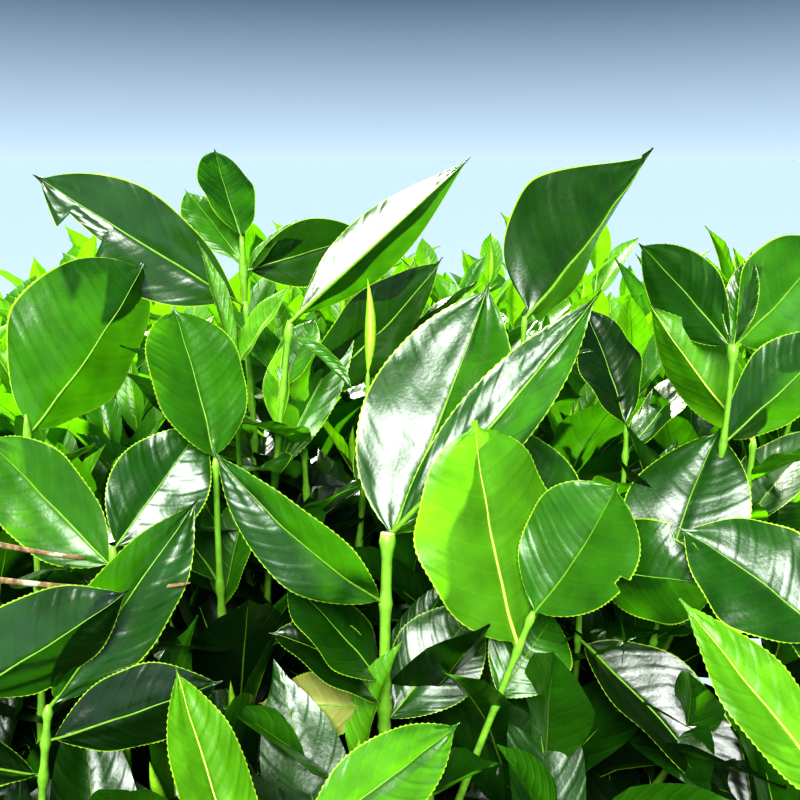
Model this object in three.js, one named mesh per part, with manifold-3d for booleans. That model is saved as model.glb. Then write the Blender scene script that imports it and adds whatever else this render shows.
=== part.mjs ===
// A tea bush kept as a plucking table: a short flared bole, a low frame of spreading boughs, and masses of foliage
// whose young shoots stand above a flat, hand-plucked top.
// Millimetres, +Z up. The origin is the middle of the flat cut under the bole, at ground level; -Y is the front.
import * as THREE from "three";
import { mergeVertices } from "three/addons/utils/BufferGeometryUtils.js";
import Module from "manifold-3d";

const wasm = await Module();
wasm.setup();
const { Manifold } = wasm;

// Driving dimensions of the whole bush
const TABLE_RADIUS = 455; // centre to the outermost shoot feet
const TABLE_HEIGHT = 640; // ground to the feet of the shoots in the middle of the table
const SHOULDER_DROP = 75; // how much lower the shoot feet stand at the rim
const SKIRT_HEIGHT = 450; // ground to the lowest shoot feet on the flank
const PLUCKED_FROM = -340; // the front of the table was plucked low from here out, in plan
const PLUCKED_TO = -120; // and is full height from here in
const PLUCKED_HEIGHTS = [655, 770]; // what its leaves reach at those two
const CROWN_RADIUS = 540; // no leaf reaches further out
const CROWN_TOP = 892; // no leaf reaches higher
const CROWN_FOOT = 385; // no leaf hangs lower
const CLEARANCE = 0.35; // gap between solids that touch in life

// Bole
const BOLE_HEIGHT = 122;
const BOLE_RADIUS = 47;
const BOLE_FLARE = 0.5; // extra radius at the ground, as a share
const BOLE_LEAN = [9, 6]; // sideways shift of the bole's head
const BOLE_SIDES = 18;
const ROOT_LOBES = [ // swellings round the foot: how many, how deep as a share of the radius, and their turn
  { count: 3, depth: 0.1, turn: 0.6 },
  { count: 5, depth: 0.07, turn: 2.1 },
];

// Limbs
const BOUGH_SIDES = 7;
const BOUGH_STEPS = 8;
const BOUGH_KINK = 15; // sideways swing, from old cuts
const BOUGH_BEND = [0.62, 0.36]; // shares of a bough's run out and of its climb where it bends up
const BOUGH_END = 0.95; // how far out a bough ends, as a share of its mass's site
const STEM_SIDES = 4;
const STEM_STEPS = 3;
const STEM_TIP = 7; // radius of a stem at its top
const BRANCHES = 3; // off the stem of each mass
const BRANCH_SPREAD = 120; // how far out from the stem the last branch ends
const BRANCH_DEPTH = 85; // how far under the shoot feet the branches end
const BRANCH_RADII = [4.8, 4.4];
const TWIG_SIDES = 3;
const TWIG_STEPS = 3;
const TWIG_RADII = [2.8, 2.6];
const TWIG_DEPTH = 45; // how far under a shoot's foot its twig forks off, at least
const FORK_SPACING = 12; // between the feet of twigs on one branch

// Shoots and leaves. Leaves stand for two or three of life, so they are drawn larger.
const SHOOTS = 84; // over the whole table and flank
const FLANK_SHARE = 0.3; // of the shoots
const LEAF_SCALE = 1.3;
const LEAF_LENGTHS = [62, 86, 102, 110, 112, 104]; // from the top leaf of a shoot down, in life
const LEAF_ASPECT = 0.48; // width over length, broader than in life
const LEAF_THICKNESS = 0.022; // of its length
const LEAF_SINK = 0.3; // how far behind a twig's axis a leaf stalk starts
const LEAF_ATTEMPTS = 10; // turns tried to find a leaf room
const INTERNODE = 24; // from leaf to leaf along a shoot
const GOLDEN_ANGLE = THREE.MathUtils.degToRad(137.508);
const RISES = [120, 95, 150, 75, 135, 105]; // height of shoots above their feet, dealt in turn
const LEANS = { middle: 0, rim: 28, flankTop: 40, flankFoot: 66 }; // of shoots, in degrees from upright
const EVEN_STEPS = [0.7548776662, 0.569840291]; // steps of a sequence that fills a square evenly
const SHOOT_SEED = 1000;

// The masses of foliage. Each owns the points that are nearest to its site by power distance, where a larger reach
// takes more ground. Its bough ends at the height given, under the site.
const MASSES = {
  front: { site: [0, -290], reach: 260, boughTop: 440, branches: 6, spread: 190 },
  front_left: { site: [-345, -265], reach: 150, boughTop: 445 },
  front_right: { site: [345, -265], reach: 150, boughTop: 450 },
  left: { site: [-410, 20], reach: 150, boughTop: 440 },
  right: { site: [410, 20], reach: 150, boughTop: 445 },
  inner_left: { site: [-165, 85], reach: 150, boughTop: 490 },
  inner_right: { site: [165, 85], reach: 150, boughTop: 485 },
  inner_back: { site: [0, 235], reach: 150, boughTop: 500 },
  back_left: { site: [-300, 310], reach: 150, boughTop: 450 },
  back_right: { site: [300, 310], reach: 150, boughTop: 445 },
  back: { site: [0, 440], reach: 150, boughTop: 455 },
};

// The frame of boughs: the mass that each one carries, the bough that it forks from (or the bole), how far along that
// bough, and its radii at the root and at the tip.
const BOUGHS = [
  { carries: "front", from: "bole", radii: [21, 10] },
  { carries: "left", from: "bole", radii: [20, 9] },
  { carries: "right", from: "bole", radii: [20, 9] },
  { carries: "back_left", from: "bole", radii: [19, 9] },
  { carries: "back_right", from: "bole", radii: [19, 9] },
  { carries: "inner_back", from: "bole", radii: [15, 9] },
  { carries: "front_left", from: "left", along: 0.36, radii: [14, 8] },
  { carries: "front_right", from: "right", along: 0.36, radii: [14, 8] },
  { carries: "inner_left", from: "left", along: 0.24, radii: [12, 8] },
  { carries: "inner_right", from: "right", along: 0.24, radii: [12, 8] },
  { carries: "back", from: "back_left", along: 0.34, radii: [13, 8] },
];

// The tall shoots that stand above the table at the front. Each has its stem's foot and top. Its leaves go up the
// stem: height on it, azimuth and rise in degrees, length, width, roll and arch in degrees. A bud is a leaf still
// rolled, so it is as thick as it is wide.
const TALL_SHOOTS = [
  {
    foot: [-10, -282, 600], top: [-5, -260, 738],
    leaves: [
      [655, 28, 42, 68, 24, 20, 15],
      [664, 176, 34, 58, 34, -10, 50],
      [673, 160, 44, 62, 50, 10, 10],
      [712, 178, 46, 96, 38, -15, 45],
      [733, 50, 53, 124, 52, 20, 25],
      [735, 28, 43, 146, 46, -35, 45],
    ],
  },
  {
    foot: [-84, -248, 600], top: [-78, -242, 764],
    leaves: [
      [690, 60, 66, 58, 24, 0, 10],
      [704, 158, 52, 66, 38, 0, 10],
      [762, 128, 62, 70, 44, 10, 10],
    ],
  },
  {
    foot: [8, -296, 590], top: [54, -274, 710],
    leaves: [
      [672, 30, 50, 44, 32, -60, 60],
      [694, 112, 62, 94, 56, 0, -12],
      [708, 10, 60, 64, 46, 35, -15],
    ],
  },
  {
    foot: [88, -232, 600], top: [80, -240, 714],
    leaves: [
      [690, 132, 57, 92, 50, 0, 15],
      [700, -55, -20, 84, 42, 0, 25],
      [712, -40, 12, 62, 46, 25, 50],
    ],
  },
  {
    foot: [-80, -200, 610], top: [-52, -185, 812],
    leaves: [
      [735, 45, 52, 92, 26, 50, 10],
      [758, 80, 72, 44, 16, 0, 5],
      [778, 60, 48, 42, 24, 0, 10],
      [806, -25, -35, 42, 14, 0, 10],
      [811, 21, 40, 120, 38, 25, 20],
    ],
  },
  {
    foot: [62, -148, 620], top: [69, -154, 811],
    leaves: [
      [740, 200, 50, 70, 30, 0, 20],
      [770, 300, 30, 60, 26, 0, 20],
      [810, 32, 44, 116, 58, -20, 15],
    ],
  },
  {
    foot: [-20, -180, 620], top: [-16, -172, 784], bud: [91, 67, 47, 6],
    leaves: [
      [715, 60, 40, 80, 30, 0, 20],
      [752, 35, 45, 100, 42, -30, 20],
    ],
  },
  {
    foot: [180, -192, 610], top: [176, -183, 752], bud: [139, 65, 55, 6],
    leaves: [
      [700, 20, 42, 76, 42, 0, 20],
      [728, 300, 36, 60, 30, 0, 20],
      [750, 159, 50, 88, 32, 30, 15],
    ],
  },
  {
    foot: [-158, -235, 610], top: [-152, -225, 786],
    leaves: [
      [720, 220, 40, 70, 36, 0, 20],
      [742, 330, 35, 56, 24, 0, 10],
      [784, 60, 46, 88, 60, 15, 15],
    ],
  },
  {
    foot: [-142, -330, 590], top: [-127, -314, 696],
    leaves: [
      [668, 200, 20, 70, 34, 0, 20],
      [682, 12, 14, 66, 34, 30, 10],
      [694, 41, 45, 90, 40, -30, 20],
    ],
  },
  {
    foot: [-112, -284, 590], top: [-114, -272, 738],
    leaves: [
      [728, 150, 31, 84, 36, -20, 40],
      [736, 41, 36, 62, 30, 20, 10],
    ],
  },
  {
    foot: [-44, -380, 580], top: [-44, -374, 676],
    leaves: [
      [640, 250, 20, 60, 28, 0, 20],
      [674, 124, 40, 74, 26, 20, 10],
    ],
  },
  {
    foot: [-36, -366, 580], top: [-32, -362, 684],
    leaves: [
      [682, 30, 19, 64, 28, 0, 10],
    ],
  },
  {
    foot: [114, -242, 600], top: [120, -233, 690],
    leaves: [
      [670, 330, 40, 64, 34, 0, 20],
      [688, 53, 45, 90, 54, 0, 0],
    ],
  },
  {
    foot: [128, -400, 600], top: [118, -394, 724],
    leaves: [
      [722, 147, 44, 66, 30, 20, 20],
    ],
  },
  {
    foot: [168, -300, 600], top: [163, -298, 712],
    leaves: [
      [690, 100, 40, 60, 30, 0, 20],
      [710, 158, 32, 76, 38, 0, 10],
    ],
  },
  {
    foot: [-92, -96, 620], top: [-92, -86, 842],
    leaves: [
      [790, 200, 40, 60, 28, 0, 10],
      [815, 30, 45, 50, 22, 0, 10],
      [834, 190, 50, 46, 22, 20, 10],
      [841, 128, 58, 52, 30, 0, 10],
    ],
  },
  {
    foot: [-74, -166, 620], top: [-77, -163, 817],
    leaves: [
      [745, 230, 40, 74, 34, 0, 15],
      [815, 181, 33, 114, 50, -35, 25],
    ],
  },
  {
    foot: [128, -152, 620], top: [122, -150, 748],
    leaves: [
      [700, 250, 35, 60, 28, 0, 15],
      [730, 20, 45, 70, 30, 0, 15],
      [746, 128, 60, 72, 42, -10, 10],
    ],
  },
];

// Seeded random numbers from 0 to 1, so that the bush is the same each time.
function randomFrom(seed) {
  let state = seed >>> 0;
  return () => {
    state = (state + 0x6d2b79f5) >>> 0;
    let t = state;
    t = Math.imul(t ^ (t >>> 15), t | 1);
    t ^= t + Math.imul(t ^ (t >>> 7), t | 61);
    return ((t ^ (t >>> 14)) >>> 0) / 4294967296;
  };
}

const { clamp, degToRad, lerp } = THREE.MathUtils;
const UP = new THREE.Vector3(0, 0, 1);
const vector = (p) => new THREE.Vector3(...p);
const headingOf = (azimuth, rise) =>
  new THREE.Vector3(
    Math.cos(azimuth) * Math.cos(rise), Math.sin(azimuth) * Math.cos(rise), Math.sin(rise),
  );

// A limb's middle line: it leaves the start towards the bend, reaches the end from the bend, and may swing sideways
// on the way, by the kink.
class LimbCurve extends THREE.Curve {
  constructor(start, bend, end, kink = 0, turn = 0) {
    super();
    this.arc = new THREE.QuadraticBezierCurve3(start, bend, end);
    this.kink = kink;
    this.turn = turn;
  }

  getPoint(t, target = new THREE.Vector3()) {
    const swing = this.kink * Math.sin(Math.PI * t);
    return this.arc.getPoint(t, target).add(
      new THREE.Vector3(swing * Math.sin(9 * t + this.turn), swing * Math.cos(7 * t + this.turn), 0),
    );
  }
}

// The place on a climbing curve at a height, by halving.
function pointAtHeight(curve, height) {
  let [low, high] = [0, 1];
  for (let i = 0; i < 20; i++) {
    const middle = (low + high) / 2;
    if (curve.getPoint(middle).z < height) low = middle;
    else high = middle;
  }
  return curve.getPoint(low);
}

// A closed surface from rings of points, each ring the same count, with a flat fan on the first and the last.
function ringStack(rings) {
  const count = rings[0].length;
  const positions = rings.flat().flatMap((p) => [p.x, p.y, p.z]);
  const index = [];
  rings.slice(1).forEach((_, i) => {
    for (let j = 0; j < count; j++) {
      const [a, b] = [i * count + j, i * count + ((j + 1) % count)];
      index.push(a, b, b + count, a, b + count, a + count);
    }
  });
  const last = (rings.length - 1) * count;
  for (let j = 1; j < count - 1; j++) {
    index.push(0, j + 1, j);
    index.push(last, last + j, last + j + 1);
  }
  return new THREE.BufferGeometry()
    .setAttribute("position", new THREE.Float32BufferAttribute(positions, 3))
    .setIndex(index);
}

// A limb along a curve, whose radius goes evenly from the first of the two given to the second.
function limbGeometry(curve, steps, sides, [root, tip]) {
  const frames = curve.computeFrenetFrames(steps, false);
  const rings = frames.tangents.map((_, i) => {
    const centre = curve.getPointAt(i / steps);
    const radius = lerp(root, tip, i / steps);
    return Array.from({ length: sides }, (_, j) => {
      const angle = (2 * Math.PI * j) / sides;
      return centre
        .clone()
        .addScaledVector(frames.normals[i], radius * Math.cos(angle))
        .addScaledVector(frames.binormals[i], radius * Math.sin(angle));
    });
  });
  return ringStack(rings);
}

// The bole: level rings, swollen at the ground where the roots leave, and drawn in over a rounded head. `grow` makes
// it larger all round, to cut neighbours clear of it.
function boleGeometry(grow = 0) {
  const levels = [0, 0.06, 0.16, 0.32, 0.55, 0.8, 0.93, 1];
  const headShare = [1, 1, 1, 1, 1, 1, 0.88, 0.6];
  const rings = levels.map((level, i) => {
    const flare = Math.pow(1 - level, 3);
    return Array.from({ length: BOLE_SIDES }, (_, j) => {
      const angle = (2 * Math.PI * j) / BOLE_SIDES;
      const lobes = ROOT_LOBES.reduce(
        (sum, { count, depth, turn }) => sum + depth * (0.25 + flare) * Math.cos(count * angle + turn + level), 1,
      );
      const radius = BOLE_RADIUS * headShare[i] * (1 + BOLE_FLARE * flare) * lobes + grow;
      return new THREE.Vector3(
        BOLE_LEAN[0] * level * level + radius * Math.cos(angle),
        BOLE_LEAN[1] * level * level + radius * Math.sin(angle),
        BOLE_HEIGHT * level + (i === levels.length - 1 ? grow : 0),
      );
    });
  });
  return ringStack(rings);
}

// A leaf from its stalk's root at the origin along +X, with its upper side to +Z. Its outline is a kite, its rib
// arches by the given angle, and its underside is flat across. A bud is as thick as it is wide.
function leafGeometry({ length, width, arch, bud = false }) {
  const rise = (length * degToRad(arch)) / 8;
  const thickness = bud ? width : LEAF_THICKNESS * length;
  const points = [
    [0, 0, 0],
    [0.48 * length, -width / 2, rise],
    [length, 0, 0],
    [0.48 * length, width / 2, rise],
    [0.52 * length, 0, rise + thickness],
  ];
  const [stalk, right, tip, left, upper] = points.map((_, i) => i);
  const index = [
    [stalk, right, upper], [right, tip, upper], [tip, left, upper], [left, stalk, upper],
    [stalk, left, right], [left, tip, right],
  ];
  return new THREE.BufferGeometry()
    .setAttribute("position", new THREE.Float32BufferAttribute(points.flat(), 3))
    .setIndex(index.flat());
}

// Turns a leaf so that its rib runs along `heading` and its upper side looks towards `upper`, then rolls it.
function leafMatrix(root, heading, upper, roll) {
  const x = heading.clone().normalize();
  const z = upper.clone().addScaledVector(x, -upper.dot(x)).normalize().applyAxisAngle(x, degToRad(roll));
  const y = new THREE.Vector3().crossVectors(z, x);
  return new THREE.Matrix4().makeBasis(x, y, z).setPosition(root.clone().addScaledVector(x, -LEAF_SINK));
}

function solidOf(geometry) {
  const bare = geometry.clone();
  bare.deleteAttribute("normal");
  bare.deleteAttribute("uv");
  const merged = mergeVertices(bare, 1e-4);
  return new Manifold(
    new wasm.Mesh({
      numProp: 3,
      vertProperties: merged.attributes.position.array,
      triVerts: new Uint32Array(merged.index.array),
    }),
  );
}

function geometryOf(solid) {
  const mesh = solid.getMesh();
  const geometry = new THREE.BufferGeometry()
    .setAttribute("position", new THREE.BufferAttribute(mesh.vertProperties, 3))
    .setIndex(new THREE.BufferAttribute(mesh.triVerts, 1));
  geometry.computeVertexNormals();
  return geometry;
}

// The largest piece of a solid, without scraps and sealed hollows.
const mainBody = (solid) => solid.decompose().sort((a, b) => b.volume() - a.volume())[0];

// The mass that owns a place in plan, and how far inside its ground the place lies.
function ownerOf(x, y) {
  const ranked = Object.entries(MASSES)
    .map(([name, { site, reach }]) => ({
      name,
      site,
      power: (x - site[0]) ** 2 + (y - site[1]) ** 2 - reach ** 2,
    }))
    .sort((a, b) => a.power - b.power);
  const [own, next] = ranked;
  const apart = Math.hypot(own.site[0] - next.site[0], own.site[1] - next.site[1]);
  return { name: own.name, depth: (next.power - own.power) / (2 * apart) };
}

// The height of the plucked table, which falls off at the rim.
const tableHeight = (radius) => TABLE_HEIGHT - SHOULDER_DROP * Math.pow(radius / TABLE_RADIUS, 4);

// Where shoot n of the rule stands and how it leans: an even sequence over the table and the flank.
function shootFoot(n) {
  const [u, v] = EVEN_STEPS.map((step) => (0.5 + n * step) % 1);
  const azimuth = 2 * Math.PI * v;
  const onFlank = u < FLANK_SHARE;
  const share = onFlank ? u / FLANK_SHARE : (u - FLANK_SHARE) / (1 - FLANK_SHARE);
  const radius = TABLE_RADIUS * (onFlank ? lerp(0.88, 0.97, share) : Math.sqrt(share));
  const height = onFlank ? lerp(SKIRT_HEIGHT, TABLE_HEIGHT - SHOULDER_DROP, share) : tableHeight(radius);
  const lean = onFlank
    ? lerp(LEANS.flankFoot, LEANS.flankTop, share)
    : lerp(LEANS.middle, LEANS.rim, Math.pow(radius / TABLE_RADIUS, 2));
  return {
    foot: new THREE.Vector3(radius * Math.cos(azimuth), radius * Math.sin(azimuth), height),
    heading: headingOf(azimuth, degToRad(90 - lean)),
    rise: RISES[n % RISES.length] * (onFlank ? 0.55 : 1),
  };
}

// The height that the leaves of the rule's shoots may reach at the front, where the table was plucked last.
const pluckedHeight = (y) => lerp(...PLUCKED_HEIGHTS, clamp((y - PLUCKED_FROM) / (PLUCKED_TO - PLUCKED_FROM), 0, 1));

// The boughs, each cut clear of the bole and of the boughs before it.
const boughCurves = {};
const limbSolids = { bole: solidOf(boleGeometry()) };
let allLimbs = solidOf(boleGeometry(CLEARANCE));
BOUGHS.forEach(({ carries, from, along, radii }, i) => {
  const { site, boughTop } = MASSES[carries];
  const azimuth = Math.atan2(site[1], site[0]);
  const start = from === "bole"
    ? new THREE.Vector3(...BOLE_LEAN, 0.8 * BOLE_HEIGHT).addScaledVector(headingOf(azimuth, 0), 10)
    : boughCurves[from].getPoint(along);
  const end = new THREE.Vector3(BOUGH_END * site[0], BOUGH_END * site[1], boughTop);
  const [out, up] = BOUGH_BEND;
  const bend = start.clone().lerp(end, out).setZ(lerp(start.z, end.z, up));
  const curve = new LimbCurve(start, bend, end, BOUGH_KINK, 2.4 * i);
  boughCurves[carries] = curve;
  const limb = (grow) => solidOf(limbGeometry(curve, BOUGH_STEPS, BOUGH_SIDES, radii.map((r) => r + grow)));
  limbSolids["bough_" + carries] = mainBody(limb(0).subtract(allLimbs));
  allLimbs = allLimbs.add(limb(1.3 * CLEARANCE)); // facets of a seven-sided limb grow by less than its corners
});

// One mass of foliage: a stem that stands on its bough's tip, branches off the stem, a twig from a branch to each
// shoot, and the leaves of the shoots.
class Mass {
  constructor(name) {
    this.name = name;
    const { site, boughTop, branches = BRANCHES } = MASSES[name];
    const bough = boughCurves[name];
    const tangent = bough.getTangent(1);
    const foot = bough.getPoint(1).addScaledVector(tangent, CLEARANCE);
    const head = new THREE.Vector3(...site, TABLE_HEIGHT - BRANCH_DEPTH);
    const stem = new LimbCurve(foot, foot.clone().addScaledVector(tangent, 0.4 * (head.z - boughTop)), head);
    this.curves = [stem];
    this.forks = [];
    const boughRadius = BOUGHS.find(({ carries }) => carries === name).radii[1];
    this.wood = [solidOf(limbGeometry(stem, STEM_STEPS, STEM_SIDES, [boughRadius, STEM_TIP]))];
    this.leaves = [];
    this.ruled = [];
    for (let k = 0; k < branches; k++) this.addBranch(stem, k, branches);
  }

  // Branch k of the stem goes out to its own part of the mass's ground, the higher ones further out.
  addBranch(stem, k, count) {
    const { site, spread = BRANCH_SPREAD } = MASSES[this.name];
    const away = headingOf(k * GOLDEN_ANGLE, 0).multiplyScalar(spread * Math.sqrt((k + 0.6) / count));
    const end = new THREE.Vector3(...site, 0).add(away);
    end.multiplyScalar(Math.min(1, (TABLE_RADIUS - 40) / Math.hypot(end.x, end.y)));
    end.setZ(tableHeight(Math.hypot(end.x, end.y)) - BRANCH_DEPTH);
    const start = stem.getPoint(lerp(0.1, 0.75, k / count));
    const bend = start.clone().lerp(end, 0.6).setZ(lerp(start.z, end.z, 0.45));
    const curve = new LimbCurve(start, bend, end);
    this.curves.push(curve);
    this.wood.push(solidOf(limbGeometry(curve, STEM_STEPS, STEM_SIDES, BRANCH_RADII)));
  }

  // The place on the stem or a branch that a twig to this foot leaves from: near, low enough for it to climb, and
  // away from the twigs before it.
  forkFor(foot) {
    const tooHigh = (place) => Math.max(0, place.z - foot.z + TWIG_DEPTH);
    const tooNear = (place) =>
      this.forks.reduce((sum, fork) => sum + Math.max(0, FORK_SPACING - place.distanceTo(fork)), 0);
    const cost = (place) => place.distanceTo(foot) + 2 * tooHigh(place) + 4 * tooNear(place);
    const shares = Array.from({ length: 15 }, (_, i) => lerp(0.2, 0.97, i / 14));
    const places = this.curves.flatMap((curve) => shares.map((t) => curve.getPoint(t)));
    const best = places.sort((a, b) => cost(a) - cost(b))[0];
    this.forks.push(best);
    return best;
  }

  // A twig through a shoot's foot to the shoot's top. None where it would meet a limb.
  addTwig(foot, top) {
    const curve = new LimbCurve(this.forkFor(foot), foot, top);
    const solid = solidOf(limbGeometry(curve, TWIG_STEPS, TWIG_SIDES, TWIG_RADII));
    if (!solid.intersect(allLimbs).isEmpty()) return null;
    this.wood.push(solid);
    return { curve, solid };
  }

  // A leaf keeps to its mass's ground and to the crown's bounds.
  holds(point) {
    const { name, depth } = ownerOf(point.x, point.y);
    return name === this.name && depth > CLEARANCE && Math.hypot(point.x, point.y) < CROWN_RADIUS
      && point.z < CROWN_TOP && point.z > CROWN_FOOT;
  }

  // Adds a leaf if it keeps to its space and clear of limbs and, for a leaf of the rule, of other leaves and twigs.
  addLeaf(shape, root, heading, upper, roll, ownTwig) {
    const geometry = leafGeometry(shape).applyMatrix4(leafMatrix(root, heading, upper, roll));
    const position = geometry.getAttribute("position");
    const corners = Array.from({ length: position.count }, (_, i) =>
      new THREE.Vector3().fromBufferAttribute(position, i));
    if (!corners.every((corner) => this.holds(corner))) return false;
    const solid = solidOf(geometry);
    const box = solid.boundingBox();
    const near = ({ min, max }) => [0, 1, 2].every((k) => box.min[k] < max[k] && min[k] < box.max[k]);
    const others = ownTwig ? [...this.leaves, ...this.wood.filter((wood) => wood !== ownTwig)] : [];
    const met = others.filter((other) => near(other.boundingBox()));
    if ([allLimbs, ...met].some((other) => !solid.intersect(other).isEmpty())) return false;
    this.leaves.push(solid);
    return true;
  }

  // A shoot whose leaves are listed one by one.
  addTallShoot({ foot, top, leaves, bud }) {
    const to = vector(top);
    const { curve } = this.addTwig(vector(foot), to);
    leaves.forEach(([height, azimuth, rise, length, width, roll, arch]) => {
      const root = pointAtHeight(curve, height);
      this.addLeaf({ length, width, arch }, root, headingOf(degToRad(azimuth), degToRad(rise)), UP, roll);
    });
    if (!bud) return;
    const [azimuth, rise, length, width] = bud;
    this.addLeaf({ length, width, arch: 0, bud: true }, to, headingOf(degToRad(azimuth), degToRad(rise)), UP, 0);
  }

  // The twig of a shoot by the rule.
  addRuledTwig(n) {
    const { foot, heading, rise } = shootFoot(n);
    const room = this.name === "front" ? pluckedHeight(foot.y) - foot.z - LEAF_LENGTHS[0] : rise;
    const top = foot.clone().addScaledVector(heading, Math.max(Math.min(rise, room), 10));
    const twig = this.addTwig(foot, top);
    if (twig) this.ruled.push({ n, twig, reach: top.distanceTo(twig.curve.getPoint(0)) });
  }

  // Its leaves: a golden-angle spiral, small and upright at the top, long and level lower down. A leaf that doesn't
  // fit is turned on round the twig, and left off when no place is free.
  addRuledLeaves({ n, twig: { curve, solid }, reach }) {
    const random = randomFrom(SHOOT_SEED + n);
    const turn = 2 * Math.PI * random();
    LEAF_LENGTHS.forEach((inLife, k) => {
      const t = 1 - (INTERNODE * (k + 0.2)) / reach;
      const spread = degToRad(lerp(30, 68, k / (LEAF_LENGTHS.length - 1)));
      const length = inLife * LEAF_SCALE * lerp(0.88, 1.1, random());
      const width = length * LEAF_ASPECT * lerp(0.9, 1.1, random());
      const arch = lerp(5, 35, random());
      const roll = lerp(-18, 18, random());
      if (t < 0.15) return;
      const root = curve.getPoint(t);
      const axis = curve.getTangent(t);
      const side = new THREE.Vector3(1, 0, 0).cross(axis).normalize();
      for (let attempt = 0; attempt < LEAF_ATTEMPTS; attempt++) {
        const around = side.clone().applyAxisAngle(axis, turn + (k + 1.6 * attempt) * GOLDEN_ANGLE);
        const along = axis.clone().multiplyScalar(Math.cos(spread)).addScaledVector(around, Math.sin(spread));
        if (this.addLeaf({ length, width, arch }, root, along, axis, roll, solid)) return;
      }
    });
  }

  solid() {
    return mainBody(Manifold.union([...this.wood, ...this.leaves]));
  }
}

const barkMaterial = new THREE.MeshStandardMaterial({ color: 0x8a7a66, roughness: 0.9, metalness: 0 });
const boughMaterial = new THREE.MeshStandardMaterial({ color: 0x7d6c56, roughness: 0.88, metalness: 0 });
const leafMaterial = new THREE.MeshStandardMaterial({ color: 0x4f8f1e, roughness: 0.4, metalness: 0 });

const bush = new THREE.Group();
function addPart(name, solid, material) {
  const mesh = new THREE.Mesh(geometryOf(solid), material);
  mesh.name = name;
  bush.add(mesh);
}

Object.entries(limbSolids).forEach(([name, solid]) =>
  addPart(name, solid, name === "bole" ? barkMaterial : boughMaterial));

const masses = Object.fromEntries(Object.keys(MASSES).map((name) => [name, new Mass(name)]));
TALL_SHOOTS.forEach((shoot) => masses.front.addTallShoot(shoot));
for (let n = 0; n < SHOOTS; n++) {
  const { foot } = shootFoot(n);
  masses[ownerOf(foot.x, foot.y).name].addRuledTwig(n);
}
Object.values(masses).forEach((mass) => mass.ruled.forEach((shoot) => mass.addRuledLeaves(shoot)));
Object.values(masses).forEach((mass) => addPart("foliage_" + mass.name, mass.solid(), leafMaterial));

export default bush;
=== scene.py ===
"""A tea bush kept as a plucking table, grown round the frame: bole, boughs, twigs, buds and leaves.

The growth rule works in millimetres, as the plant is measured, and the meshes are made in metres.
"""

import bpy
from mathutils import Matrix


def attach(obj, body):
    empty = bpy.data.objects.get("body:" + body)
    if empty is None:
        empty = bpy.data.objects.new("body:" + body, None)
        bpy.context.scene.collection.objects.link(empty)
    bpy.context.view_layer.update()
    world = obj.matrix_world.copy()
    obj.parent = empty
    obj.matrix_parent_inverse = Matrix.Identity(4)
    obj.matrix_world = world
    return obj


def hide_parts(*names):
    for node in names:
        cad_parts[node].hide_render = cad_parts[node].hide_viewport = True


bl_info = {
    "name": "Tea bush",
    "version": (1, 0, 0),
    "blender": (4, 5, 0),
    "location": "3D View > Sidebar > Tea bush",
    "description": "Grows a plucked tea bush: barked bole and boughs, twigs, buds and leaves",
    "category": "Add Mesh",
}

import math
from dataclasses import dataclass, field
from functools import lru_cache

import bpy
import numpy as np
from bpy.props import FloatProperty, FloatVectorProperty, IntProperty, PointerProperty
from mathutils import Vector

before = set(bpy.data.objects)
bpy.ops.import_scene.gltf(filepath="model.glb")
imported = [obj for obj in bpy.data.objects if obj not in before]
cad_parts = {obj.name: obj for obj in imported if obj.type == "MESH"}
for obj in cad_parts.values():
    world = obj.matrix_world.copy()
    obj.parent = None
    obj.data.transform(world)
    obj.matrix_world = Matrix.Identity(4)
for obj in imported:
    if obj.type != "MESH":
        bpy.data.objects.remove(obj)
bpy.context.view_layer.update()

MM = 0.001
METRE = 1000  # mm
UP = np.array([0.0, 0.0, 1.0])
GOLDEN_ANGLE = math.radians(137.508)
EVEN_STEPS = (0.7548776662, 0.569840291)  # steps of a sequence that fills a square evenly

# The whole bush, in mm
TABLE_RADIUS = 455  # centre to the outermost shoot feet
TABLE_HEIGHT = 640  # ground to the feet of the shoots in the middle of the table
SHOULDER_DROP = 75  # how much lower the shoot feet stand at the rim
SKIRT_HEIGHT = 450  # ground to the lowest shoot feet on the flank
PLUCKED_FROM = -340  # the front of the table was plucked low from here out, in plan
PLUCKED_TO = -120  # and is full height from here in
PLUCKED_HEIGHTS = (655, 770)  # what its leaves reach at those two
# The plucked front's leaves are dealt darker shades, partly for their age and partly as painted shade.
PLUCKED_AGE_AND_SHADE = 2.4  # how much older the leaves are that plucking left, in leaves down a shoot
CROWN_RADIUS = 540  # no leaf reaches further out
CROWN_TOP = 892  # no leaf reaches higher
CROWN_FOOT = 385  # no leaf hangs lower
CLEARANCE = 0.35  # between a bough's tip and the stem on it

# Bole and boughs, in mm and shares
BOLE_HEIGHT = 122
BOLE_RADIUS = 47
BOLE_FLARE = 0.5  # extra radius at the ground
BOLE_LEAN = np.array([9.0, 6.0, 0.0])  # sideways shift of the bole's head
BOLE_ROUNDING = (0.84, 0.17)  # its head rounds in from this share of its height, over this one
BOLE_RIDGES = 19  # of bark, round it
BOLE_KNUCKLES = 2.5  # height of its healed cuts
ROOT_LOBES = ((3, 0.1, 0.6), (5, 0.07, 2.1))  # swellings round the foot: number, depth, turn
BOUGH_ROOT = (10, 0.8)  # a bough starts this far off the bole's axis, at this share of its height
BOUGH_KINK = 15  # sideways swing, from old cuts
BOUGH_TURN = 2.4  # radians that the swing is turned by from bough to bough
BOUGH_BEND = (0.62, 0.36)  # shares of a bough's run out and of its climb where it bends up
BOUGH_END = 0.95  # how far out it ends, as a share of its mass's site
BOUGH_RIDGES = 9
FULL_BARK_RADIUS = 16  # of a limb whose bark is as high as the bole's
BOUGH_KNUCKLES = 0.16  # height of its healed cuts, as a share of its radius
KNUCKLES = 5  # healed cuts on the bole and on each bough
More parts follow.
